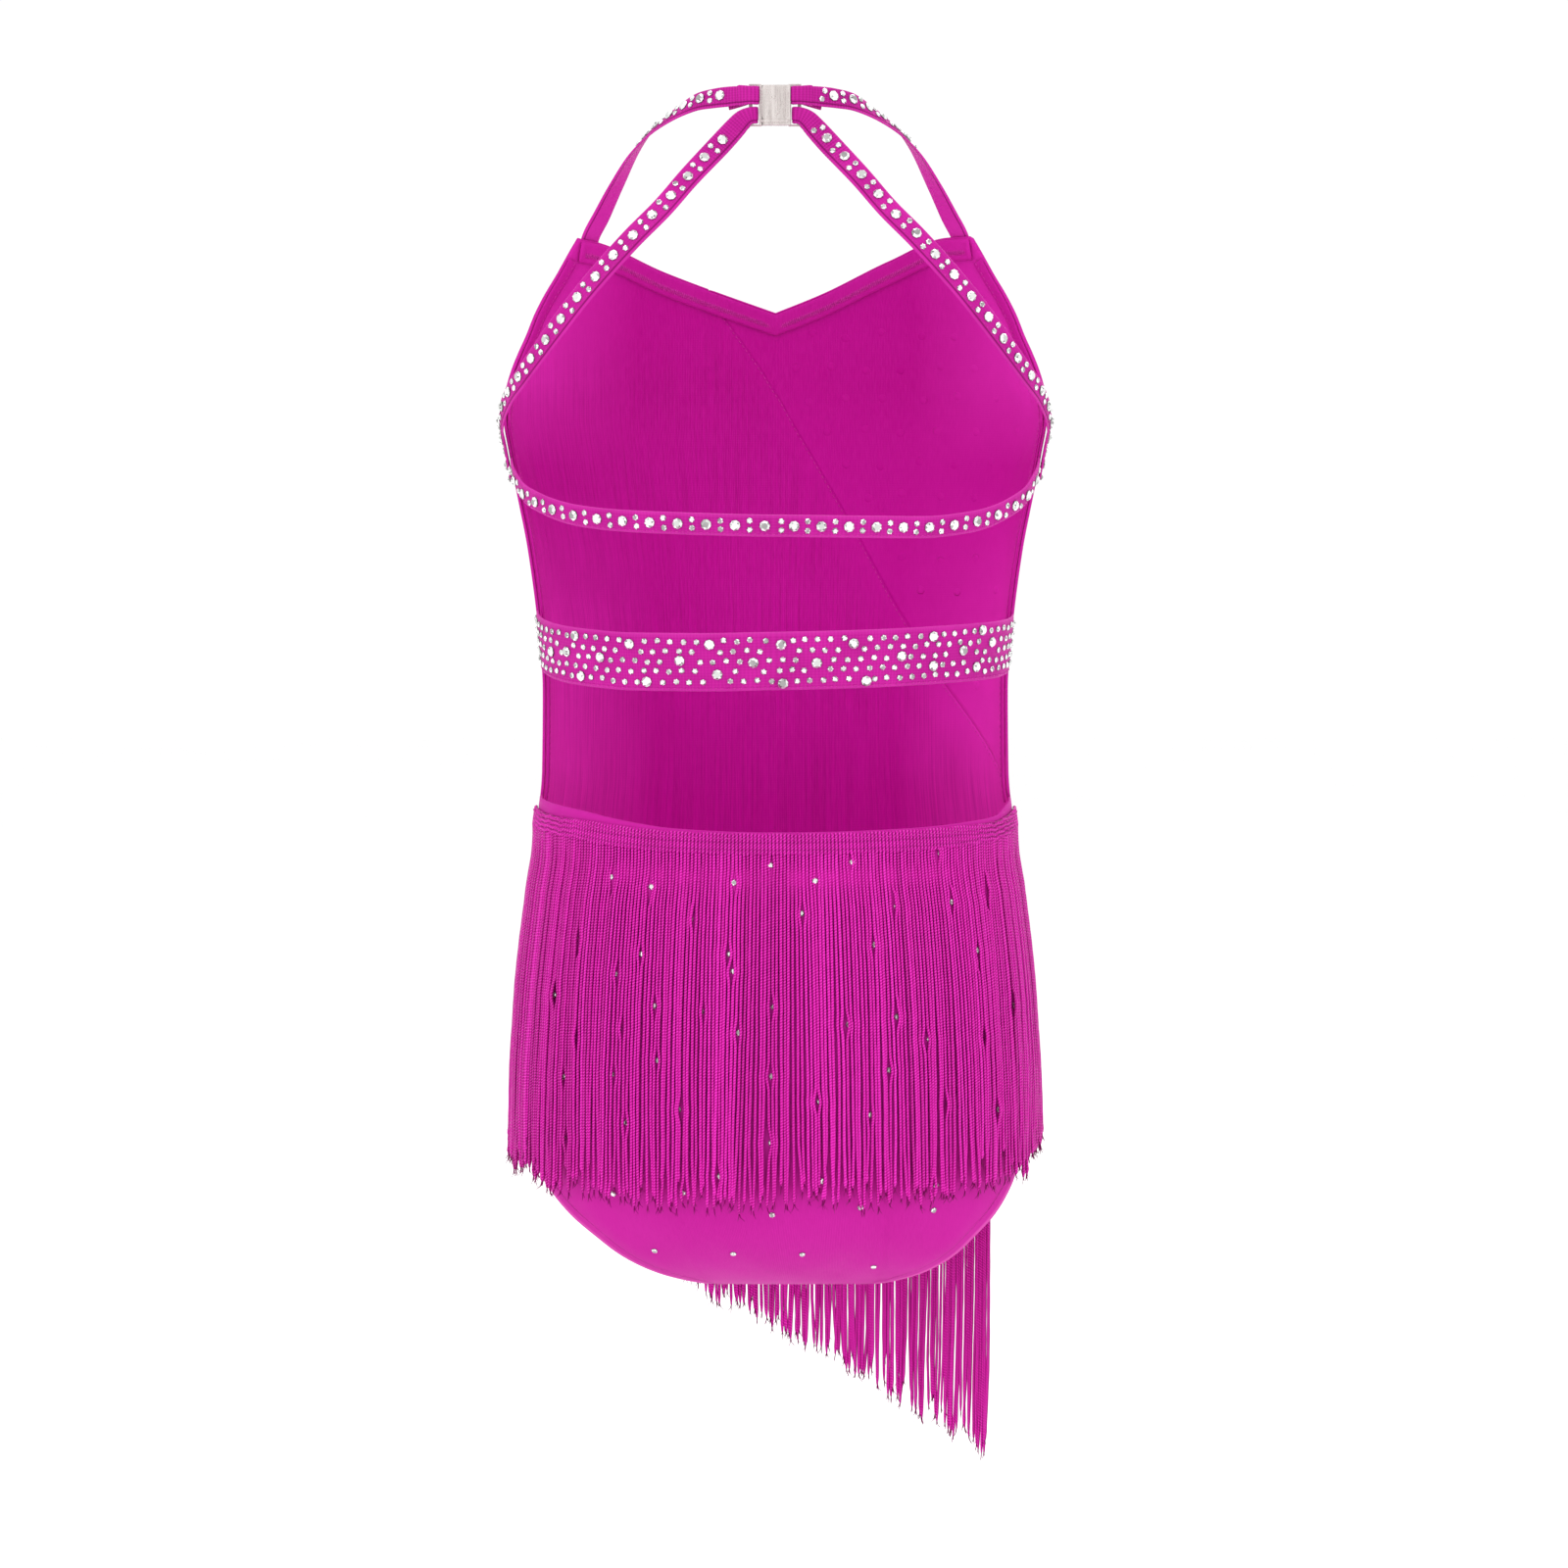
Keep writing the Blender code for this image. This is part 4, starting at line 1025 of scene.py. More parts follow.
def strap_rows_on(edges, half, lift, width):
    rows = []
    for edge in edges:
        point = on_cloth(edge.angle, edge.down, half, lift)
        rows.append(Strap(*point, *outward(edge.angle, edge.down, half), width))
    return rows


TURNED_THICKNESS = 0.8
STRAP_OUTLINE = [
    (-0.5, 0.0), (-0.47, 0.36), (-0.38, 0.46), (-0.2, 0.5), (0.0, 0.5), (0.2, 0.5), (0.30, 0.48), (0.335, 0.16),
    (0.37, 0.36), (0.45, 0.34), (0.5, 0.0), (0.47, -0.36), (0.38, -0.46), (0.2, -0.5), (0.0, -0.5), (-0.2, -0.5),
    (-0.38, -0.46), (-0.47, -0.36),
]


def strap(name, rows, side, replaces, turned_end=(0, 0), pale_from=None):
    """A flat elastic along its rows, and (centre, across, face, width, length along) down its path. Its turned
    end lies on its outer face between two lengths, and past pale_from it's a plain stretch, painted paler as
    if lit through."""
    path = smooth_path(rows, 9)
    centres = path[:, :3]
    ahead = unit(np.gradient(centres, axis=0))
    across = unit(np.cross(ahead, path[:, 3:6]))
    face = unit(np.cross(across, ahead))
    mirror = np.array([side, 1, 1])
    centres, across, face = centres * mirror, across * mirror, face * mirror
    lengths = np.concatenate([[0], np.cumsum(np.linalg.norm(np.diff(centres, axis=0), axis=1))])
    start, end = turned_end
    turned = np.clip((lengths - start) / 1.5, 0, 1) * np.clip((end - lengths) / 0.4, 0, 1)
    width = path[:, 6] + 1.0 * turned
    outline = np.array(STRAP_OUTLINE)
    n, sides = len(path), len(outline)
    raised = outline[None, :, 1] * STRAP_THICKNESS + np.where(outline[None, :, 1] > 0.1, TURNED_THICKNESS, 0) * turned[:, None]
    points = (centres[:, None] + across[:, None] * (outline[None, :, :1] * width[:, None, None])
              + face[:, None] * raised[..., None])
    faces = [tuple(f) for f in grid_faces(n, sides, 0, side < 0, wrap=True)]
    first, last = tuple(range(sides)), tuple(range((n - 1) * sides, n * sides))
    faces += [first[::-1], last] if side < 0 else [first, last[::-1]]
    made = piece(name, points, faces, ELASTIC_FINISH, replaces)
    # rim: where the painted highlight of the turned edges falls.
    rim = np.clip((np.abs(outline[:, 0]) - 0.40) / 0.1, 0, 1)
    store(made, "cloth", "FLOAT_VECTOR", np.stack([
        np.broadcast_to(lengths[:, None], (n, sides)),
        np.broadcast_to(STRAP_ACROSS + outline[:, 0] * 10, (n, sides)),
        np.broadcast_to(rim, (n, sides))], -1))
    near_clasp = np.clip((58 - lengths) / 14, 0, 1)[:, None]
    store(made, "ribbed", "FLOAT", np.broadcast_to(near_clasp, (n, sides)))
    # pale: where the plain stretch's painted light begins and grows.
    pale = np.zeros(n) if pale_from is None else np.clip((lengths - pale_from) / 12, 0, 1)
    store(made, "pale", "FLOAT", np.broadcast_to(pale[:, None], (n, sides)))
    return made, (centres, across, face, width, lengths)


def strap_place(line, length, across_mm, lift):
    """(point, face) on a strap's outer face at a length along it."""
    centres, across, face, _, lengths = line
    at = [np.array([np.interp(length, lengths, part[:, k]) for k in range(3)]) for part in (centres, across, face)]
    up = unit(at[2])
    return at[0] + unit(at[1]) * across_mm + up * (STRAP_THICKNESS / 2 + lift), up


STONES_ACROSS = -0.7


def strap_stones(gather, line, start, end, pitch, draw, pair_first):
    """One large stone, then a pair of small ones, over and over."""
    length = start
    if pair_first:
        for across in (STONES_ACROSS - 1.9, STONES_ACROSS + 1.9):
            point, up = strap_place(line, start - pitch / 2 - 0.4 * across, across, 0)
            stone(gather, point, up, SMALL, draw)
    while length < end:
        jitter = STONES_ACROSS + draw.uniform(-0.3, 0.3)
        point, up = strap_place(line, length, jitter, 0)
        stone(gather, point, up, LARGE, draw)
        for across in (STONES_ACROSS - 1.9, STONES_ACROSS + 1.9):
            point, up = strap_place(line, length + pitch / 2 + draw.uniform(-0.4, 0.4), across + draw.uniform(-0.25, 0.25), 0)
            stone(gather, point, up, SMALL, draw)
        length += pitch


def build_straps(stones, stitches):
    lift = LAID_ON + STRAP_THICKNESS / 2
    back_rows = BACK_STRAP + strap_rows_on(BACK_STRAP_ON_BODY, BACK, lift + GAP, BACK_STRAP_WIDTH)
    halter_rows = HALTER_STRAP + strap_rows_on(HALTER_END, FRONT, lift + GAP, HALTER_WIDTH)
    draw = random.Random(5)
    for side, word in ((1, "right"), (-1, "left")):
        _, line = strap("back_strap_elastic_" + word, back_rows, side, "back_strap_" + word)
        total = line[4][-1]
        strap_stones(stones, line, 38.2 if side < 0 else 37.4, total - 4, 12.4, draw, side > 0)
        edge_stitches(stitches, line, 30.0, total - 2, 2.6)
        _, line = strap("halter_strap_elastic_" + word, halter_rows, side, "halter_strap_" + word,
                        turned_end=(13.5, 24.5), pale_from=88)
        total = line[4][-1]
        strap_stones(stones, line, 33.0 if side < 0 else 34.7, 92.0, 10.6, draw, side > 0)
        edge_stitches(stitches, line, 28.0, 84.0, 2.3)


def edge_stitches(stitches, line, start, end, across):
    marks = np.arange(start, end, 1.0)
    places = [strap_place(line, m, across, 0.0) for m in marks]
    stitch_line(stitches, np.array([p for p, _ in places]), np.array([u for _, u in places]), 1.6, 1.0, 0.17)


# Fringe.
CORD_SIDES = 6
CORD_RADIUS = 0.76
BACK_CORDS, FRONT_CORDS = 184, 206
ENDS_ABOVE = 2.5
LAID_IN = {BACK: 1.9, FRONT: 1.2}
SIDE_LAID_IN = 0.8
TOP_OVER = 0.6
PARTING, PARTING_HEIGHT = 1.3, 4.5
PARTING_OFFSETS = (0.8, -0.7, 0.4, -0.9)


def heading_at(table, angle):
    angles = [row.angle for row in table]
    return tuple(curve(angles, [row[k] for row in table], angle) for k in (1, 2))


def heading_line(table, half, extra, lift, count=2000):
    angles = np.linspace(table[0].angle, table[-1].angle, count)
    down = heading_at(table, angles)[0] + extra
    return angles, on_cloth(angles, down, half, lift)


def heading(name, half, table, count, replaces):
    """The heading: the cords' loops side by side, two rows sewn across, and plain ribs towards the sides."""
    columns = count * 6 + 1
    marks = np.linspace(0, 1, columns)
    fine, line = heading_line(table, half, HEADING_HEIGHT - 0.6, LAID_ON + 0.9)
    lengths = np.concatenate([[0], np.cumsum(np.linalg.norm(np.diff(line, axis=0), axis=1))])
    angles = np.interp(marks * lengths[-1], lengths, fine)
    rows = 17
    share = np.linspace(0, 1, rows)[:, None]
    angle = np.broadcast_to(angles, (rows, columns))
    top = heading_at(table, angle)[0] - TOP_OVER * np.clip((62 - np.abs(angle)) / 20, 0, 1)
    down = top + share * (heading_at(table, angle)[0] + HEADING_HEIGHT - top)
    loops = np.abs(np.sin(math.pi * marks * count))[None] ** 0.7
    sewn = 1 - 0.4 * np.exp(-(((share - 0.42) / 0.05) ** 2)) - 0.35 * np.exp(-(((share - 0.80) / 0.05) ** 2))
    gathered = np.clip((np.abs(angle) - 76) / 14, 0, 1)
    waves = 0.12 * np.sin(angle * 1.3) + 0.1 * np.sin(angle * 0.47 + 1)
    ribs = np.abs(np.sin(math.pi * (share * 4 + 2.8 * gathered ** 1.6 + waves))) ** 0.7
    ribs = ribs * (0.6 + 0.4 * loops)
    sides = np.clip((np.abs(angle) - 44) / 18, 0, 1)
    crown = loops * sewn * (1 - sides) + ribs * sides
    outer = on_cloth(angle, down, half, LAID_ON + 0.7 + 1.0 * crown)
    inner = on_cloth(angle, down, half, LAID_ON)
    made = wall(name, inner, outer, BRAID_FINISH, replaces, flipped=half == BACK)
    one = np.stack([np.broadcast_to(marks * lengths[-1], angle.shape), share * HEADING_HEIGHT + 0 * angle, crown], -1)
    ring = border(rows, columns)
    store(made, "cloth", "FLOAT_VECTOR", np.concatenate([
        one.reshape(-1, 3) * np.array([1, 1, 0]), one.reshape(-1, 3), one[ring[:, 0], ring[:, 1]]]))
    return made


def smooth_noise(rng, count, spacing):
    """A smooth random row, between about -1 and 1."""
    knots = rng.uniform(-1, 1, count // spacing + 4)
    return np.interp(np.arange(count) / spacing, np.arange(len(knots)), knots)


def cords(name, half, table, count, seed, rings):
    """The fringe's twisted cords, from under the heading down to their knotted ends."""
    rng = np.random.default_rng(seed)
    angles, line = heading_line(table, half, HEADING_HEIGHT - 0.6, LAID_ON + 0.9)
    lengths = np.concatenate([[0], np.cumsum(np.linalg.norm(np.diff(line, axis=0), axis=1))])
    pitch = lengths[-1] / count
    places = (np.arange(count) + 0.5) * pitch + rng.normal(0, 0.03, count) * pitch
    angle = np.interp(places, lengths, angles)
    down, drop = heading_at(table, angle)
    root = on_cloth(angle, down + HEADING_HEIGHT - 0.6, half, LAID_ON + 0.9)
    reach = drop - ENDS_ABOVE - np.abs(rng.normal(0, 5.2, count)) + 2.2 * smooth_noise(rng, count, 6)
    share = np.linspace(0, 1, rings)
    fall = reach[:, None] * share[None]
    height = root[:, 2:3] - fall
    half_width, back, front = section_at(FALL, height)
    half_width = half_width - SIDE_LAID_IN
    back, front = (back + LAID_IN[BACK], front) if half == BACK else (back, front - LAID_IN[FRONT])
    wide_angle = np.broadcast_to(angle[:, None], fall.shape)
    hang = on_section(height, half_width, back, front, wide_angle, half)
    side = unit(on_section(height, half_width, back, front, wide_angle + 0.5, half)
                - on_section(height, half_width, back, front, wide_angle - 0.5, half))
    out = np.cross(side, np.array([0, 0, 1.0])) * -half
    blend = np.clip(fall / FALL_BLEND, 0, 1)
    blend = (blend * blend * (3 - 2 * blend))[..., None]
    centre = np.concatenate([root[:, None, :2] * (1 - blend) + hang[..., :2] * blend, height[..., None]], -1)
    loose = (share ** 1.6)[None]
    phase = rng.uniform(0, 2 * math.pi, (3, count, 1))
    at_side = np.clip((np.abs(angle) - 40) / 30, 0, 1)
    group = (smooth_noise(rng, count, 5) * 1.4 + smooth_noise(rng, count, 12) * 1.2
             + smooth_noise(rng, count, 3) * 1.5 * at_side)
    middle = smooth_noise(rng, count, 4) * 0.45
    sway = (group[:, None] * loose + middle[:, None] * np.sin(math.pi * np.clip(share * 1.3, 0, 1))[None]
            + rng.normal(0, 0.35, (count, 1)) * loose
            + 0.3 * np.sin(fall / 27 + phase[0]) * loose + 0.12 * np.sin(fall / 9 + phase[1]) * loose
            + rng.normal(0, 0.8, (count, 1)) * np.clip(share - 0.86, 0, 1)[None] * 6)
    layer = np.where(np.arange(count) % 2, 0.1, -0.1) + rng.normal(0, 0.12, count)
    depth = layer[:, None] * np.clip(fall / 12, 0, 1) + 0.25 * np.sin(fall / 17 + phase[2]) * loose
    centre = centre + side * sway[..., None] + out * depth[..., None]
    if half == BACK:
        part_round_stones(centre)
    ahead = unit(np.gradient(centre, axis=1))
    across = unit(side - ahead * (side * ahead).sum(-1, keepdims=True))
    outer = np.cross(across, ahead) * half
    radius = CORD_RADIUS * (1 + 0.05 * rng.normal(0, 1, (count, 1))) * np.ones_like(fall)
    radius = radius * (1 + 0.05 * np.sin(fall * 2.1 + phase[0]))
    near_end = reach[:, None] - fall
    radius = radius * (1 + 0.5 * np.exp(-(((near_end - 1.6) / 1.1) ** 2)))
    radius[:, -1] *= 0.55
    turn = 2 * math.pi * np.arange(CORD_SIDES) / CORD_SIDES
    ring = (centre[:, :, None] + across[:, :, None] * (np.cos(turn)[:, None] * radius[..., None, None])
            + outer[:, :, None] * (np.sin(turn)[:, None] * radius[..., None, None]))
    points = ring.reshape(-1, 3)
    per = rings * CORD_SIDES
    one = grid_faces(rings, CORD_SIDES, 0, half == BACK, wrap=True)
    quads = (one[None] + (np.arange(count) * per)[:, None, None]).reshape(-1, 4)
    cap = np.arange(CORD_SIDES)
    caps = []
    for k in range(count):
        top, bottom = k * per + cap, k * per + (rings - 1) * CORD_SIDES + cap
        caps += [tuple(top), tuple(bottom[::-1])] if half == BACK else [tuple(top[::-1]), tuple(bottom)]
    # Each cord's own random tone, with painted shade: darker and more varied towards the garment's sides.
    shade = np.clip(0.5 + (0.16 + 0.14 * at_side) * rng.normal(0, 1, count) + 0.15 * smooth_noise(rng, count, 9)
                    - 0.25 * at_side, 0, 1)
    tails, tail_faces, tail_shades = frayed_ends(rng, centre, ahead, across, outer, shade)
    all_points = np.concatenate([points, tails])
    faces = [tuple(q) for q in quads] + caps + [tuple(int(i) + len(points) for i in f) for f in tail_faces]
    made = piece(name, all_points, faces, CORD_FINISH)
    store(made, "shade", "FLOAT", np.concatenate([np.repeat(shade, per), tail_shades]))
    twist_map(made, quads, per, centre, rings)
    return made


def part_round_stones(centre):
    """Moves the cords aside where a stone of the brief shows between them."""
    for number, seen in enumerate(SEEN_STONES):
        across, height = seen_place(seen)
        across += PARTING_OFFSETS[number % len(PARTING_OFFSETS)]
        gap = PARTING * (0.75 + 0.35 * ((number * 5) % 4) / 3)
        near = np.exp(-(((centre[..., 2] - height) / PARTING_HEIGHT) ** 2))
        offset = centre[..., 0] - across
        at_stone = offset[np.arange(len(offset)), np.abs(centre[..., 2] - height).argmin(1)]
        way = np.where(at_stone >= 0, 1.0, -1.0)[:, None]
        moved = np.sqrt(offset ** 2 + (gap * near) ** 2)
        close = np.abs(offset) < 9
        centre[..., 0] = np.where(close, across + np.where(near > 0.05, way * moved, offset), centre[..., 0])


def frayed_ends(rng, centre, ahead, across, outer, shade):
    """Three thin loose plies from the end of each cord."""
    points, faces, shades = [], [], []
    for k in range(len(centre)):
        for _ in range(3):
            end, down = centre[k, -1], ahead[k, -1]
            lean = across[k, -1] * rng.normal(0, 0.38) + outer[k, -1] * rng.normal(0, 0.3)
            long = rng.uniform(1.6, 4.2)
            base = len(points)
            for t, r in ((-0.1, 0.3), (0.5, 0.24), (1.0, 0.1)):
                spot = end + (down * t + lean * t * t) * long
                for j in range(3):
                    a = 2 * math.pi * j / 3
                    points.append(spot + (across[k, -1] * math.cos(a) + outer[k, -1] * math.sin(a)) * r)
            for level in (0, 3):
                faces += [(base + level + j, base + level + (j + 1) % 3, base + level + 3 + (j + 1) % 3, base + level + 3 + j)
                          for j in range(3)]
            faces.append((base + 6, base + 7, base + 8))
            faces.append((base + 2, base + 1, base))
            shades += [max(0.0, shade[k] - 0.3)] * 9
    return np.array(points), faces, np.array(shades)


def twist_map(made, quads, per, centre, rings):
    """A map that goes round each cord and down it in millimetres, for the plies."""
    layer = made.data.uv_layers.new(name="Twist")
    lengths = np.concatenate([np.zeros((len(centre), 1)),
                              np.cumsum(np.linalg.norm(np.diff(centre, axis=1), axis=2), axis=1)], 1)
    number = quads // per
    inside = quads % per
    ring, side = inside // CORD_SIDES, (inside % CORD_SIDES).astype(float)
    wrapped = (side.max(1) - side.min(1)) > 1.5
    side[wrapped[:, None] & (side == 0)] = CORD_SIDES
    starts = np.random.default_rng(8).uniform(0, PLY_SPACING, len(centre))
    v = lengths[number, ring] + starts[number]
    uv = np.zeros((len(made.data.loops), 2), np.float32)
    flat = np.stack([side / CORD_SIDES, v], -1).reshape(-1, 2)
    uv[:len(flat)] = flat
    layer.data.foreach_set("uv", uv.ravel())


def build_fringes():
    parts = []
    parts.append(heading("back_fringe_heading", BACK, BACK_HEADING, BACK_CORDS, "back_fringe"))
    parts.append(cords("back_fringe_cords", BACK, BACK_HEADING, BACK_CORDS, 3, 64))
    parts.append(heading("front_fringe_heading", FRONT, FRONT_HEADING, FRONT_CORDS, "front_fringe"))
    parts.append(cords("front_fringe_cords", FRONT, FRONT_HEADING, FRONT_CORDS, 4, 44))
    return parts


# Stones and stitches on the bands and the brief.
Spot = namedtuple("Spot", "across down")
WAIST_LARGE = [
    Spot(-88.0, -9.4), Spot(-64.0, -8.0), Spot(-28.8, -8.0), Spot(2.7, -7.4), Spot(34.5, -7.2), Spot(69.4, -8.6),
    Spot(91.0, -9.8), Spot(-99.5, 0.2), Spot(-92.4, -1.6), Spot(-77.4, -1.0), Spot(-42.2, -0.8), Spot(-9.6, 0.4),
    Spot(18.5, 1.0), Spot(55.9, -0.6), Spot(83.2, -1.4), Spot(95.8, -4.0), Spot(-25.6, 5.4), Spot(70.2, 4.6),
    Spot(89.6, 6.6), Spot(-86.6, 8.5), Spot(-57.1, 8.8), Spot(3.6, 9.9), Spot(40.6, 9.8),
]


def build_band_stones(stones, stitches):
    draw = random.Random(9)
    angle = -88.0
    number = 0
    while angle < 88.5:
        middle = float(edge_at(UPPER_BAND, angle))
        here = on_cloth(angle, middle, BACK, BAND_THICKNESS)
        if number % 2 == 0:
            stone(stones, here, outward(angle, middle, BACK), LARGE, draw)
        else:
            for offset in (-1.9, 1.9):
                down = middle + offset + draw.uniform(-0.3, 0.3)
                stone(stones, on_cloth(angle, down, BACK, BAND_THICKNESS - 0.1), outward(angle, down, BACK), SMALL, draw)
        step = np.linalg.norm(on_cloth(angle + 0.5, middle, BACK) - on_cloth(angle - 0.5, middle, BACK))
        angle += 6.25 / step
        number += 1
    placed = []
    for spot in WAIST_LARGE:
        around = float(angle_at(spot.across, 247.0))
        down = float(edge_at(WAIST_BAND, around)) + spot.down
        stone(stones, on_cloth(around, down, BACK, BAND_THICKNESS), outward(around, down, BACK), LARGE, draw)
        placed.append(on_cloth(around, down, BACK))
    placed = np.array(placed)
    for row in range(5):
        angle = -89.0 + (row % 2) * 1.6
        while angle < 89.3:
            offset = (row - 2) * 4.5 - 0.4 + draw.uniform(-0.45, 0.45)
            around = angle + draw.uniform(-0.2, 0.2)
            down = float(edge_at(WAIST_BAND, around)) + offset
            here = on_cloth(around, down, BACK)
            if np.linalg.norm(placed - here, axis=1).min() > 4.0:
                stone(stones, on_cloth(around, down, BACK, BAND_THICKNESS), outward(around, down, BACK), SMALL, draw)
            step = np.linalg.norm(on_cloth(angle + 0.5, down, BACK) - on_cloth(angle - 0.5, down, BACK))
            angle += 5.9 / max(step, 0.5)
    for table, height in ((UPPER_BAND, UPPER_BAND_HEIGHT), (WAIST_BAND, WAIST_BAND_HEIGHT)):
        angles = np.linspace(-89, 89, 400)
        down = edge_at(table, angles) + height / 2 - 1.0
        stitch_line(stitches, on_cloth(angles, down, BACK, BAND_THICKNESS - 0.05), outward(angles, down, BACK), 1.6, 1.1, 0.17)


# The brief's small stones, where the picture shows them, in its own pixels, and how those are read as millimetres.
PICTURE_SCALE = 0.4333
PICTURE_CENTRE = 791.0
PICTURE_LEVEL, LEVEL_HEIGHT = 562.0, -199.0
Seen = namedtuple("Seen", "x y")
SEEN_STONES = [
    Seen(786, 885), Seen(870, 882), Seen(749, 903), Seen(665, 908), Seen(832, 901), Seen(915, 928), Seen(623, 899),
    Seen(960, 875), Seen(587, 962), Seen(655, 976), Seen(818, 934), Seen(745, 975), Seen(998, 975), Seen(893, 966),
    Seen(628, 997), Seen(749, 992), Seen(716, 1033), Seen(790, 1028), Seen(915, 1039), Seen(866, 1046),
    Seen(632, 1052), Seen(754, 1054), Seen(668, 1028), Seen(948, 1063), Seen(584, 1064), Seen(672, 1083),
    Seen(907, 1093), Seen(788, 1098), Seen(625, 1099), Seen(575, 1105), Seen(693, 1133), Seen(836, 1124),
    Seen(887, 1138), Seen(640, 1148), Seen(575, 1168), Seen(787, 1166), Seen(838, 1205), Seen(955, 1213),
    Seen(697, 1218), Seen(626, 1222), Seen(788, 1240), Seen(878, 1233), Seen(953, 1239), Seen(667, 1283),
    Seen(748, 1285), Seen(819, 1285), Seen(893, 1302), Seen(565, 1022), Seen(1037, 1035), Seen(1008, 1063),
    Seen(972, 925), Seen(1012, 915), Seen(705, 940), Seen(968, 1130), Seen(1020, 1140), Seen(735, 1200),
]


def seen_place(seen):
    """(across, height) of a stone on the brief."""
    return (seen.x - PICTURE_CENTRE) * PICTURE_SCALE, LEVEL_HEIGHT - (seen.y - PICTURE_LEVEL) * PICTURE_SCALE


def down_at_height(height):
    below = min(max((-height - SEAT_TOP) / SEAT_DEPTH, 0.0), 1.0)
    return -height if -height <= SEAT_TOP else SEAT_TOP + SEAT_ARC * 2 / math.pi * math.asin(below)


def build_brief_stones(stones):
    draw = random.Random(13)
    for seen in SEEN_STONES:
        across, height = seen_place(seen)
        down = down_at_height(height)
        around = float(angle_at(across, down))
        stone(stones, on_cloth(around, down, BACK, CLOTH), outward(around, down, BACK), SMALL, draw)


def build_front_stones(stones):
    """The front's upper right carries stones outside, which show inside as small bumps."""
    draw = random.Random(17)
    bumps, places = Gather(), []
    for row in range(13):
        down = 98.0 + row * 15.0
        for k in range(-2, 8):
            across = k * 17.0 + (8.5 if row % 2 else 0) + draw.uniform(-1.5, 1.5)
            around = float(angle_at(across, down))
            here = down + draw.uniform(-1.5, 1.5)
            if not -10 < across or around > 80 or here < float(front_top(around)) + 14 or here > float(seam_at(around)) - 7:
                continue
            stone(stones, on_cloth(around, here, FRONT, CLOTH), outward(around, here, FRONT), SMALL, draw)
            dome(bumps, on_cloth(around, here, FRONT, 0.02), -outward(around, here, FRONT), 2.2, 0.22)
            places += [(around * ACROSS_A_DEGREE, here, 0.0)] * (bumps.count - len(places))
    made = bumps.build("stone_bumps_inside", CLOTH_FINISH, "stretch_cloth")
    store(made, "cloth", "FLOAT_VECTOR", places)
    store(made, "marks", "FLOAT_VECTOR", [(0.0, 50.0, 0.0)] * len(places))


def dome(gather, centre, up, radius, height):
    helper = np.array([1.0, 0, 0])
    side = unit(np.cross(up, helper))
    other = np.cross(up, side)
    points, faces = [], []
    sides = 12
    for share, rise in ((1.0, -0.12), (0.8, 0.35), (0.5, 0.8), (0.2, 0.98)):
        for k in range(sides):
            a = 2 * math.pi * k / sides
            points.append(centre + (side * math.cos(a) + other * math.sin(a)) * radius * share + up * height * rise)
    for level in range(3):
        for k in range(sides):
            a, b = level * sides + k, level * sides + (k + 1) % sides
            faces.append((a, b, b + sides, a + sides))
    faces.append(tuple(3 * sides + k for k in range(sides)))
    faces.append(tuple(range(sides - 1, -1, -1)))
    gather.add(points, faces)


def build_stitches(stitches):
    """A row of zigzag on the neck binding, the legs' hem stitches and the seam's stitches."""
    limit = NECK_CORNER.angle - 2
    angles = np.linspace(-limit, limit, 600)
    top = front_top(angles)
    lift = -NECK_BINDING_INSET - BINDING_THICKNESS - 0.3
    zigzag(stitches, on_cloth(angles, top + 4.6, FRONT, lift), on_cloth(angles, top + 7.4, FRONT, lift),
           -outward(angles, top + 7.4, FRONT), 1.3, 0.13)
    for table, half in ((FRONT_LEG, FRONT), (BACK_LEG, BACK)):
        for side in (-1, 1):
            angles = np.linspace(table[0].angle + 0.6, 89.5, 400)
            line = on_cloth(side * angles, edge_at(table, angles), half, CLOTH)
            ahead = unit(np.gradient(line, axis=0))
            up = outward(side * angles, edge_at(table, angles), half)
            inward = unit(np.cross(up, ahead))
            inward = inward * np.sign(inward[:, 2:3].mean())
            stitch_line(stitches, line + inward * 6.4, up, 1.7, 1.0, 0.15)
    angles = np.linspace(SEAM_START + 2, 89, 500)
    down = seam_at(angles) + 1.6
    stitch_line(stitches, on_cloth(angles, down, FRONT, 0.0), -outward(angles, down, FRONT), 1.7, 0.9, 0.15)
    for table, half in ((BACK_HEADING, BACK), (FRONT_HEADING, FRONT)):
        angles = np.linspace(table[0].angle + 0.5, table[-1].angle - 0.5, 600)
        down = heading_at(table, angles)[0] + 1.4
        stitch_line(stitches, on_cloth(angles, down, half, LAID_ON + 1.75), outward(angles, down, half), 1.8, 1.2, 0.18)


# The clasp.
CLASP_FACE = -4.46
Ridge = namedtuple("Ridge", "x low high width")
CLASP_RIDGES = [
    Ridge(-5.6, -5.8, 8.4, 0.35), Ridge(-3.4, -5.6, 8.2, 0.5), Ridge(-1.9, -5.8, 6.2, 0.3), Ridge(0.6, -5.4, 8.4, 0.45),
    Ridge(2.2, -2.0, 8.0, 0.35), Ridge(4.1, -5.8, 8.4, 0.5), Ridge(5.7, -5.4, 7.0, 0.3),
]
CLASP_MARKS = [(-0.6, 3.4), (1.4, -3.2), (3.2, 0.8)]


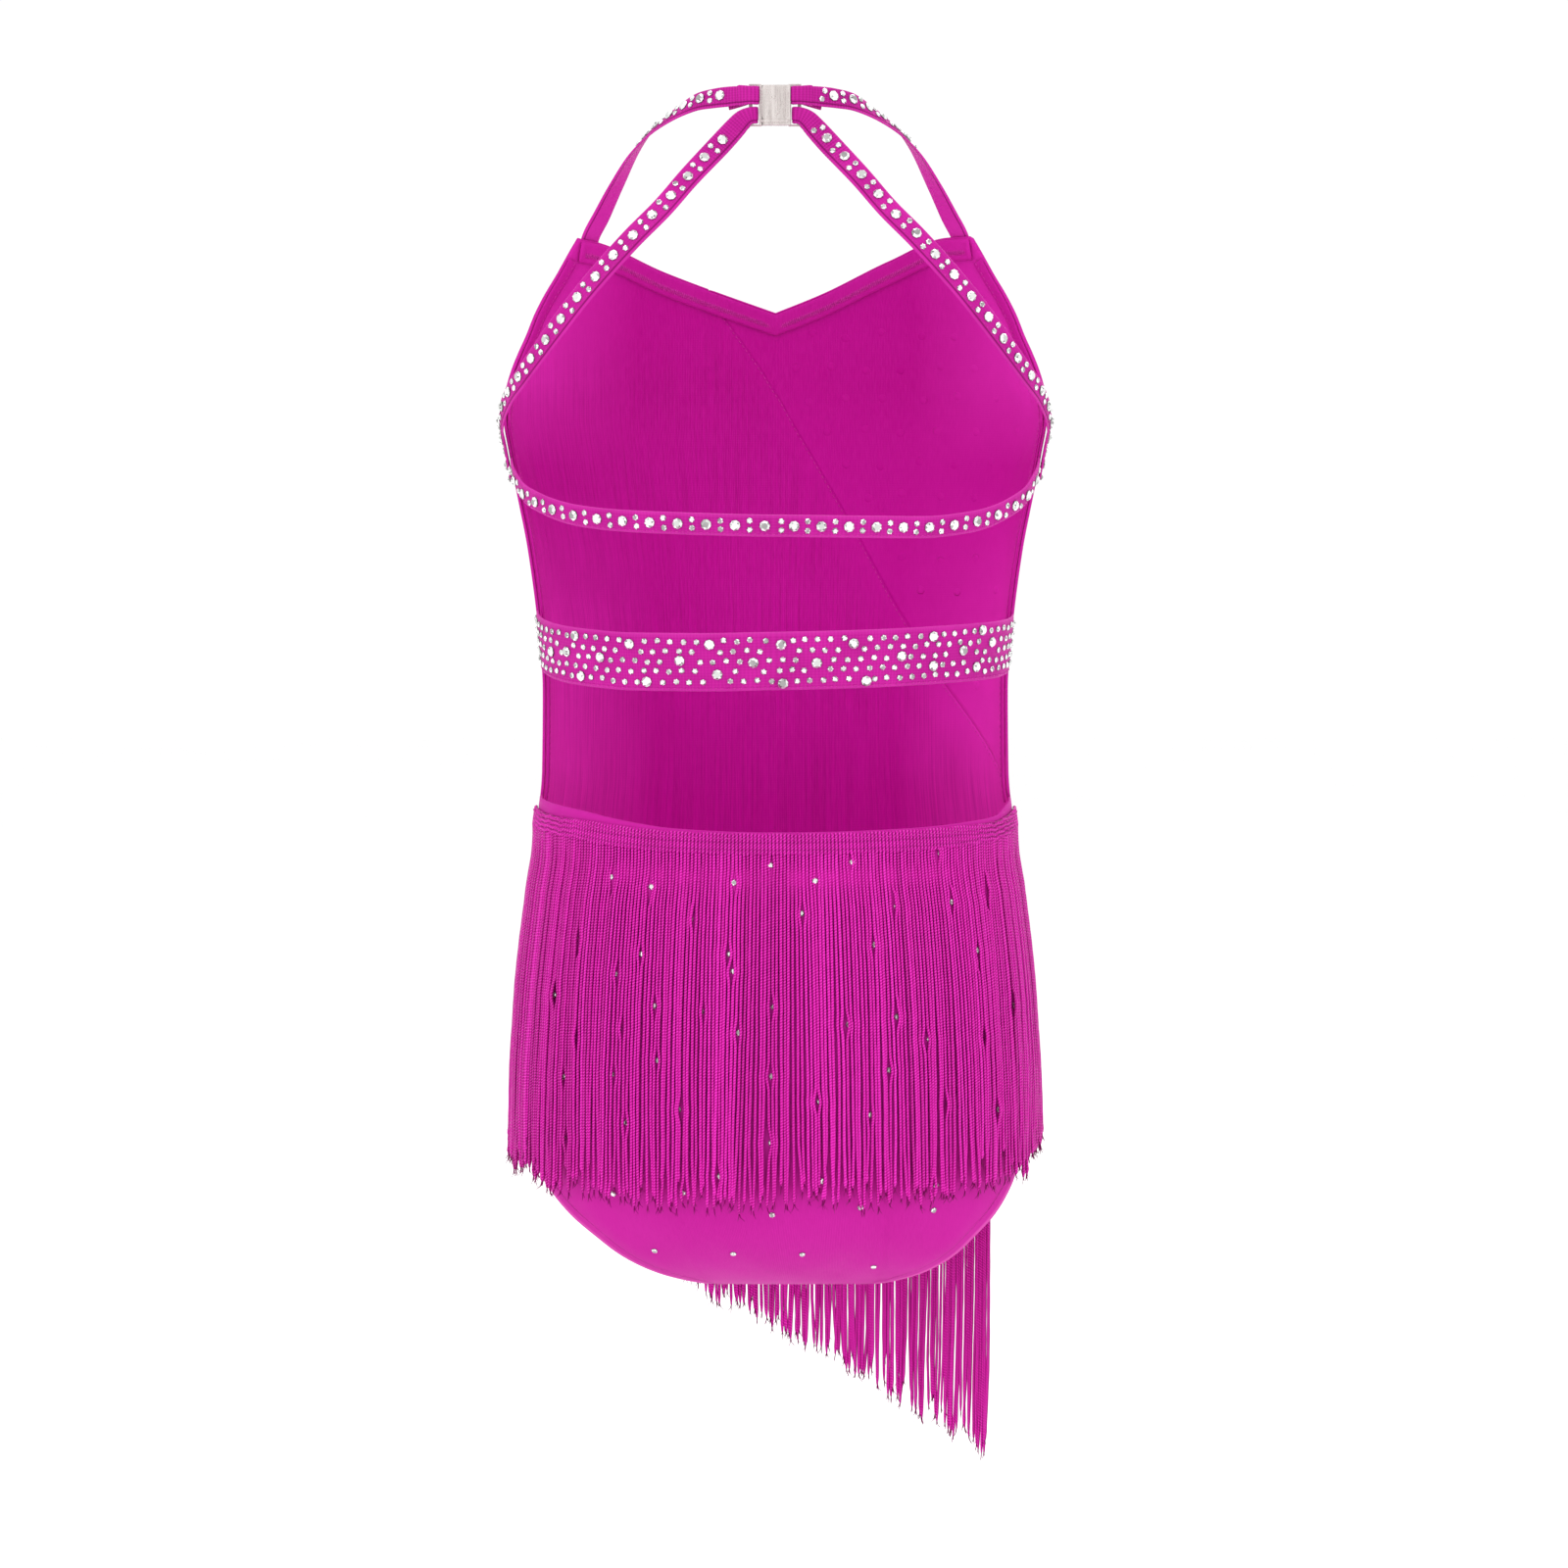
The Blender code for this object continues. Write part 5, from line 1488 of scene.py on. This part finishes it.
def rod(gather, start, end, width):
    """A half-round moulded ridge between two points of the clasp's face, with sunk ends."""
    start, end = np.array(start), np.array(end)
    side = unit(np.cross(end - start, (0.0, -1.0, 0.0)))
    points = []
    for share in np.linspace(0, 1, 9):
        taper = 0.4 if share in (0.0, 1.0) else 1.0
        for a in np.linspace(0, math.pi, 6):
            rise = np.array([0.0, -0.8 * width * math.sin(a) * taper, 0.0])
            points.append(start + (end - start) * share + side * width * math.cos(a) * taper + rise)
    faces = [tuple(f) for f in grid_faces(9, 6, 0, False, wrap=True)]
    faces += [tuple(range(5, -1, -1)), tuple(range(48, 54))]
    gather.add(points, faces)


def build_clasp():
    for name in ("clasp_hook_right", "clasp_eye_left"):
        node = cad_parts[name]
        node.data.materials.clear()
        node.data.materials.append(CLEAR_FINISH)
        bevel = node.modifiers.new("Rounded", "BEVEL")
        bevel.width = 0.18 * MM
        bevel.segments = 2
        bevel.limit_method = "ANGLE"
        bevel.angle_limit = math.radians(40)
    ridges = Gather()
    for x, low, high, width in CLASP_RIDGES:
        rod(ridges, (x, CLASP_FACE, low), (x, CLASP_FACE, high), width)
    rod(ridges, (-6.6, CLASP_FACE, -7.1), (6.6, CLASP_FACE, -7.1), 0.8)
    for x, z in CLASP_MARKS:
        dome(ridges, np.array([x, CLASP_FACE, z]), np.array([0.05, -1.0, 0.0]), 0.9, 0.45)
    return ridges.build("clasp_ridges", CLEAR_FINISH, "clear_plastic")


def add_light(name, kind, place, target, size, energy):
    data = bpy.data.lights.new(name, kind)
    data.energy = energy
    data.shape = "RECTANGLE"
    data.size = data.size_y = size
    made = bpy.data.objects.new(name, data)
    bpy.context.scene.collection.objects.link(made)
    made.location = place
    made.rotation_euler = (Vector(target) - Vector(place)).to_track_quat("-Z", "Y").to_euler()


def build_studio():
    floor_mesh = bpy.data.meshes.new("Floor")
    size, height = 12.0, -0.70
    floor_mesh.from_pydata([(-size, -size, height), (size, -size, height), (size, size, height), (-size, size, height)],
                           [], [(0, 1, 2, 3)])
    floor_mesh.materials.append(floor_finish())
    floor = bpy.data.objects.new("Floor", floor_mesh)
    bpy.context.scene.collection.objects.link(floor)
    world = bpy.data.worlds.new("Studio")
    bpy.context.scene.world = world
    world.use_nodes = True
    world.node_tree.nodes["Background"].inputs[0].default_value = (1, 1, 1, 1)
    world.node_tree.nodes["Background"].inputs[1].default_value = 1.03
    centre = (0, 0.05, -0.3)
    add_light("Key", "AREA", (-1.3, -2.2, 1.3), centre, 1.6, 16)
    add_light("Fill", "AREA", (1.8, -1.9, 0.3), centre, 1.8, 5)
    add_light("Top", "AREA", (0.2, 0.6, 1.9), centre, 2.0, 12)
    add_light("Behind", "AREA", (0.6, 2.2, 0.9), centre, 1.8, 14)
    bpy.context.scene.view_settings.view_transform = "Standard"


upper_cloth, main_cloth, brief_cloth = build_cloth()
upper_band_cloth, waist_band_cloth = build_bands()
stone_mesh, stitch_mesh = Gather(), Gather()
neck_binding()
side_binding("side_binding_elastic_right", 1, "side_binding_right", stitch_mesh)
side_binding("side_binding_elastic_left", -1, "side_binding_left", stitch_mesh)
build_straps(stone_mesh, stitch_mesh)
build_fringes()
build_band_stones(stone_mesh, stitch_mesh)
build_brief_stones(stone_mesh)
build_front_stones(stone_mesh)
build_stitches(stitch_mesh)
stone_mesh.build("rhinestones", STONE_FINISH, "rhinestone", smooth=False)
stitch_mesh.build("stitching", THREAD_FINISH, "sewing_thread")
build_clasp()
build_studio()
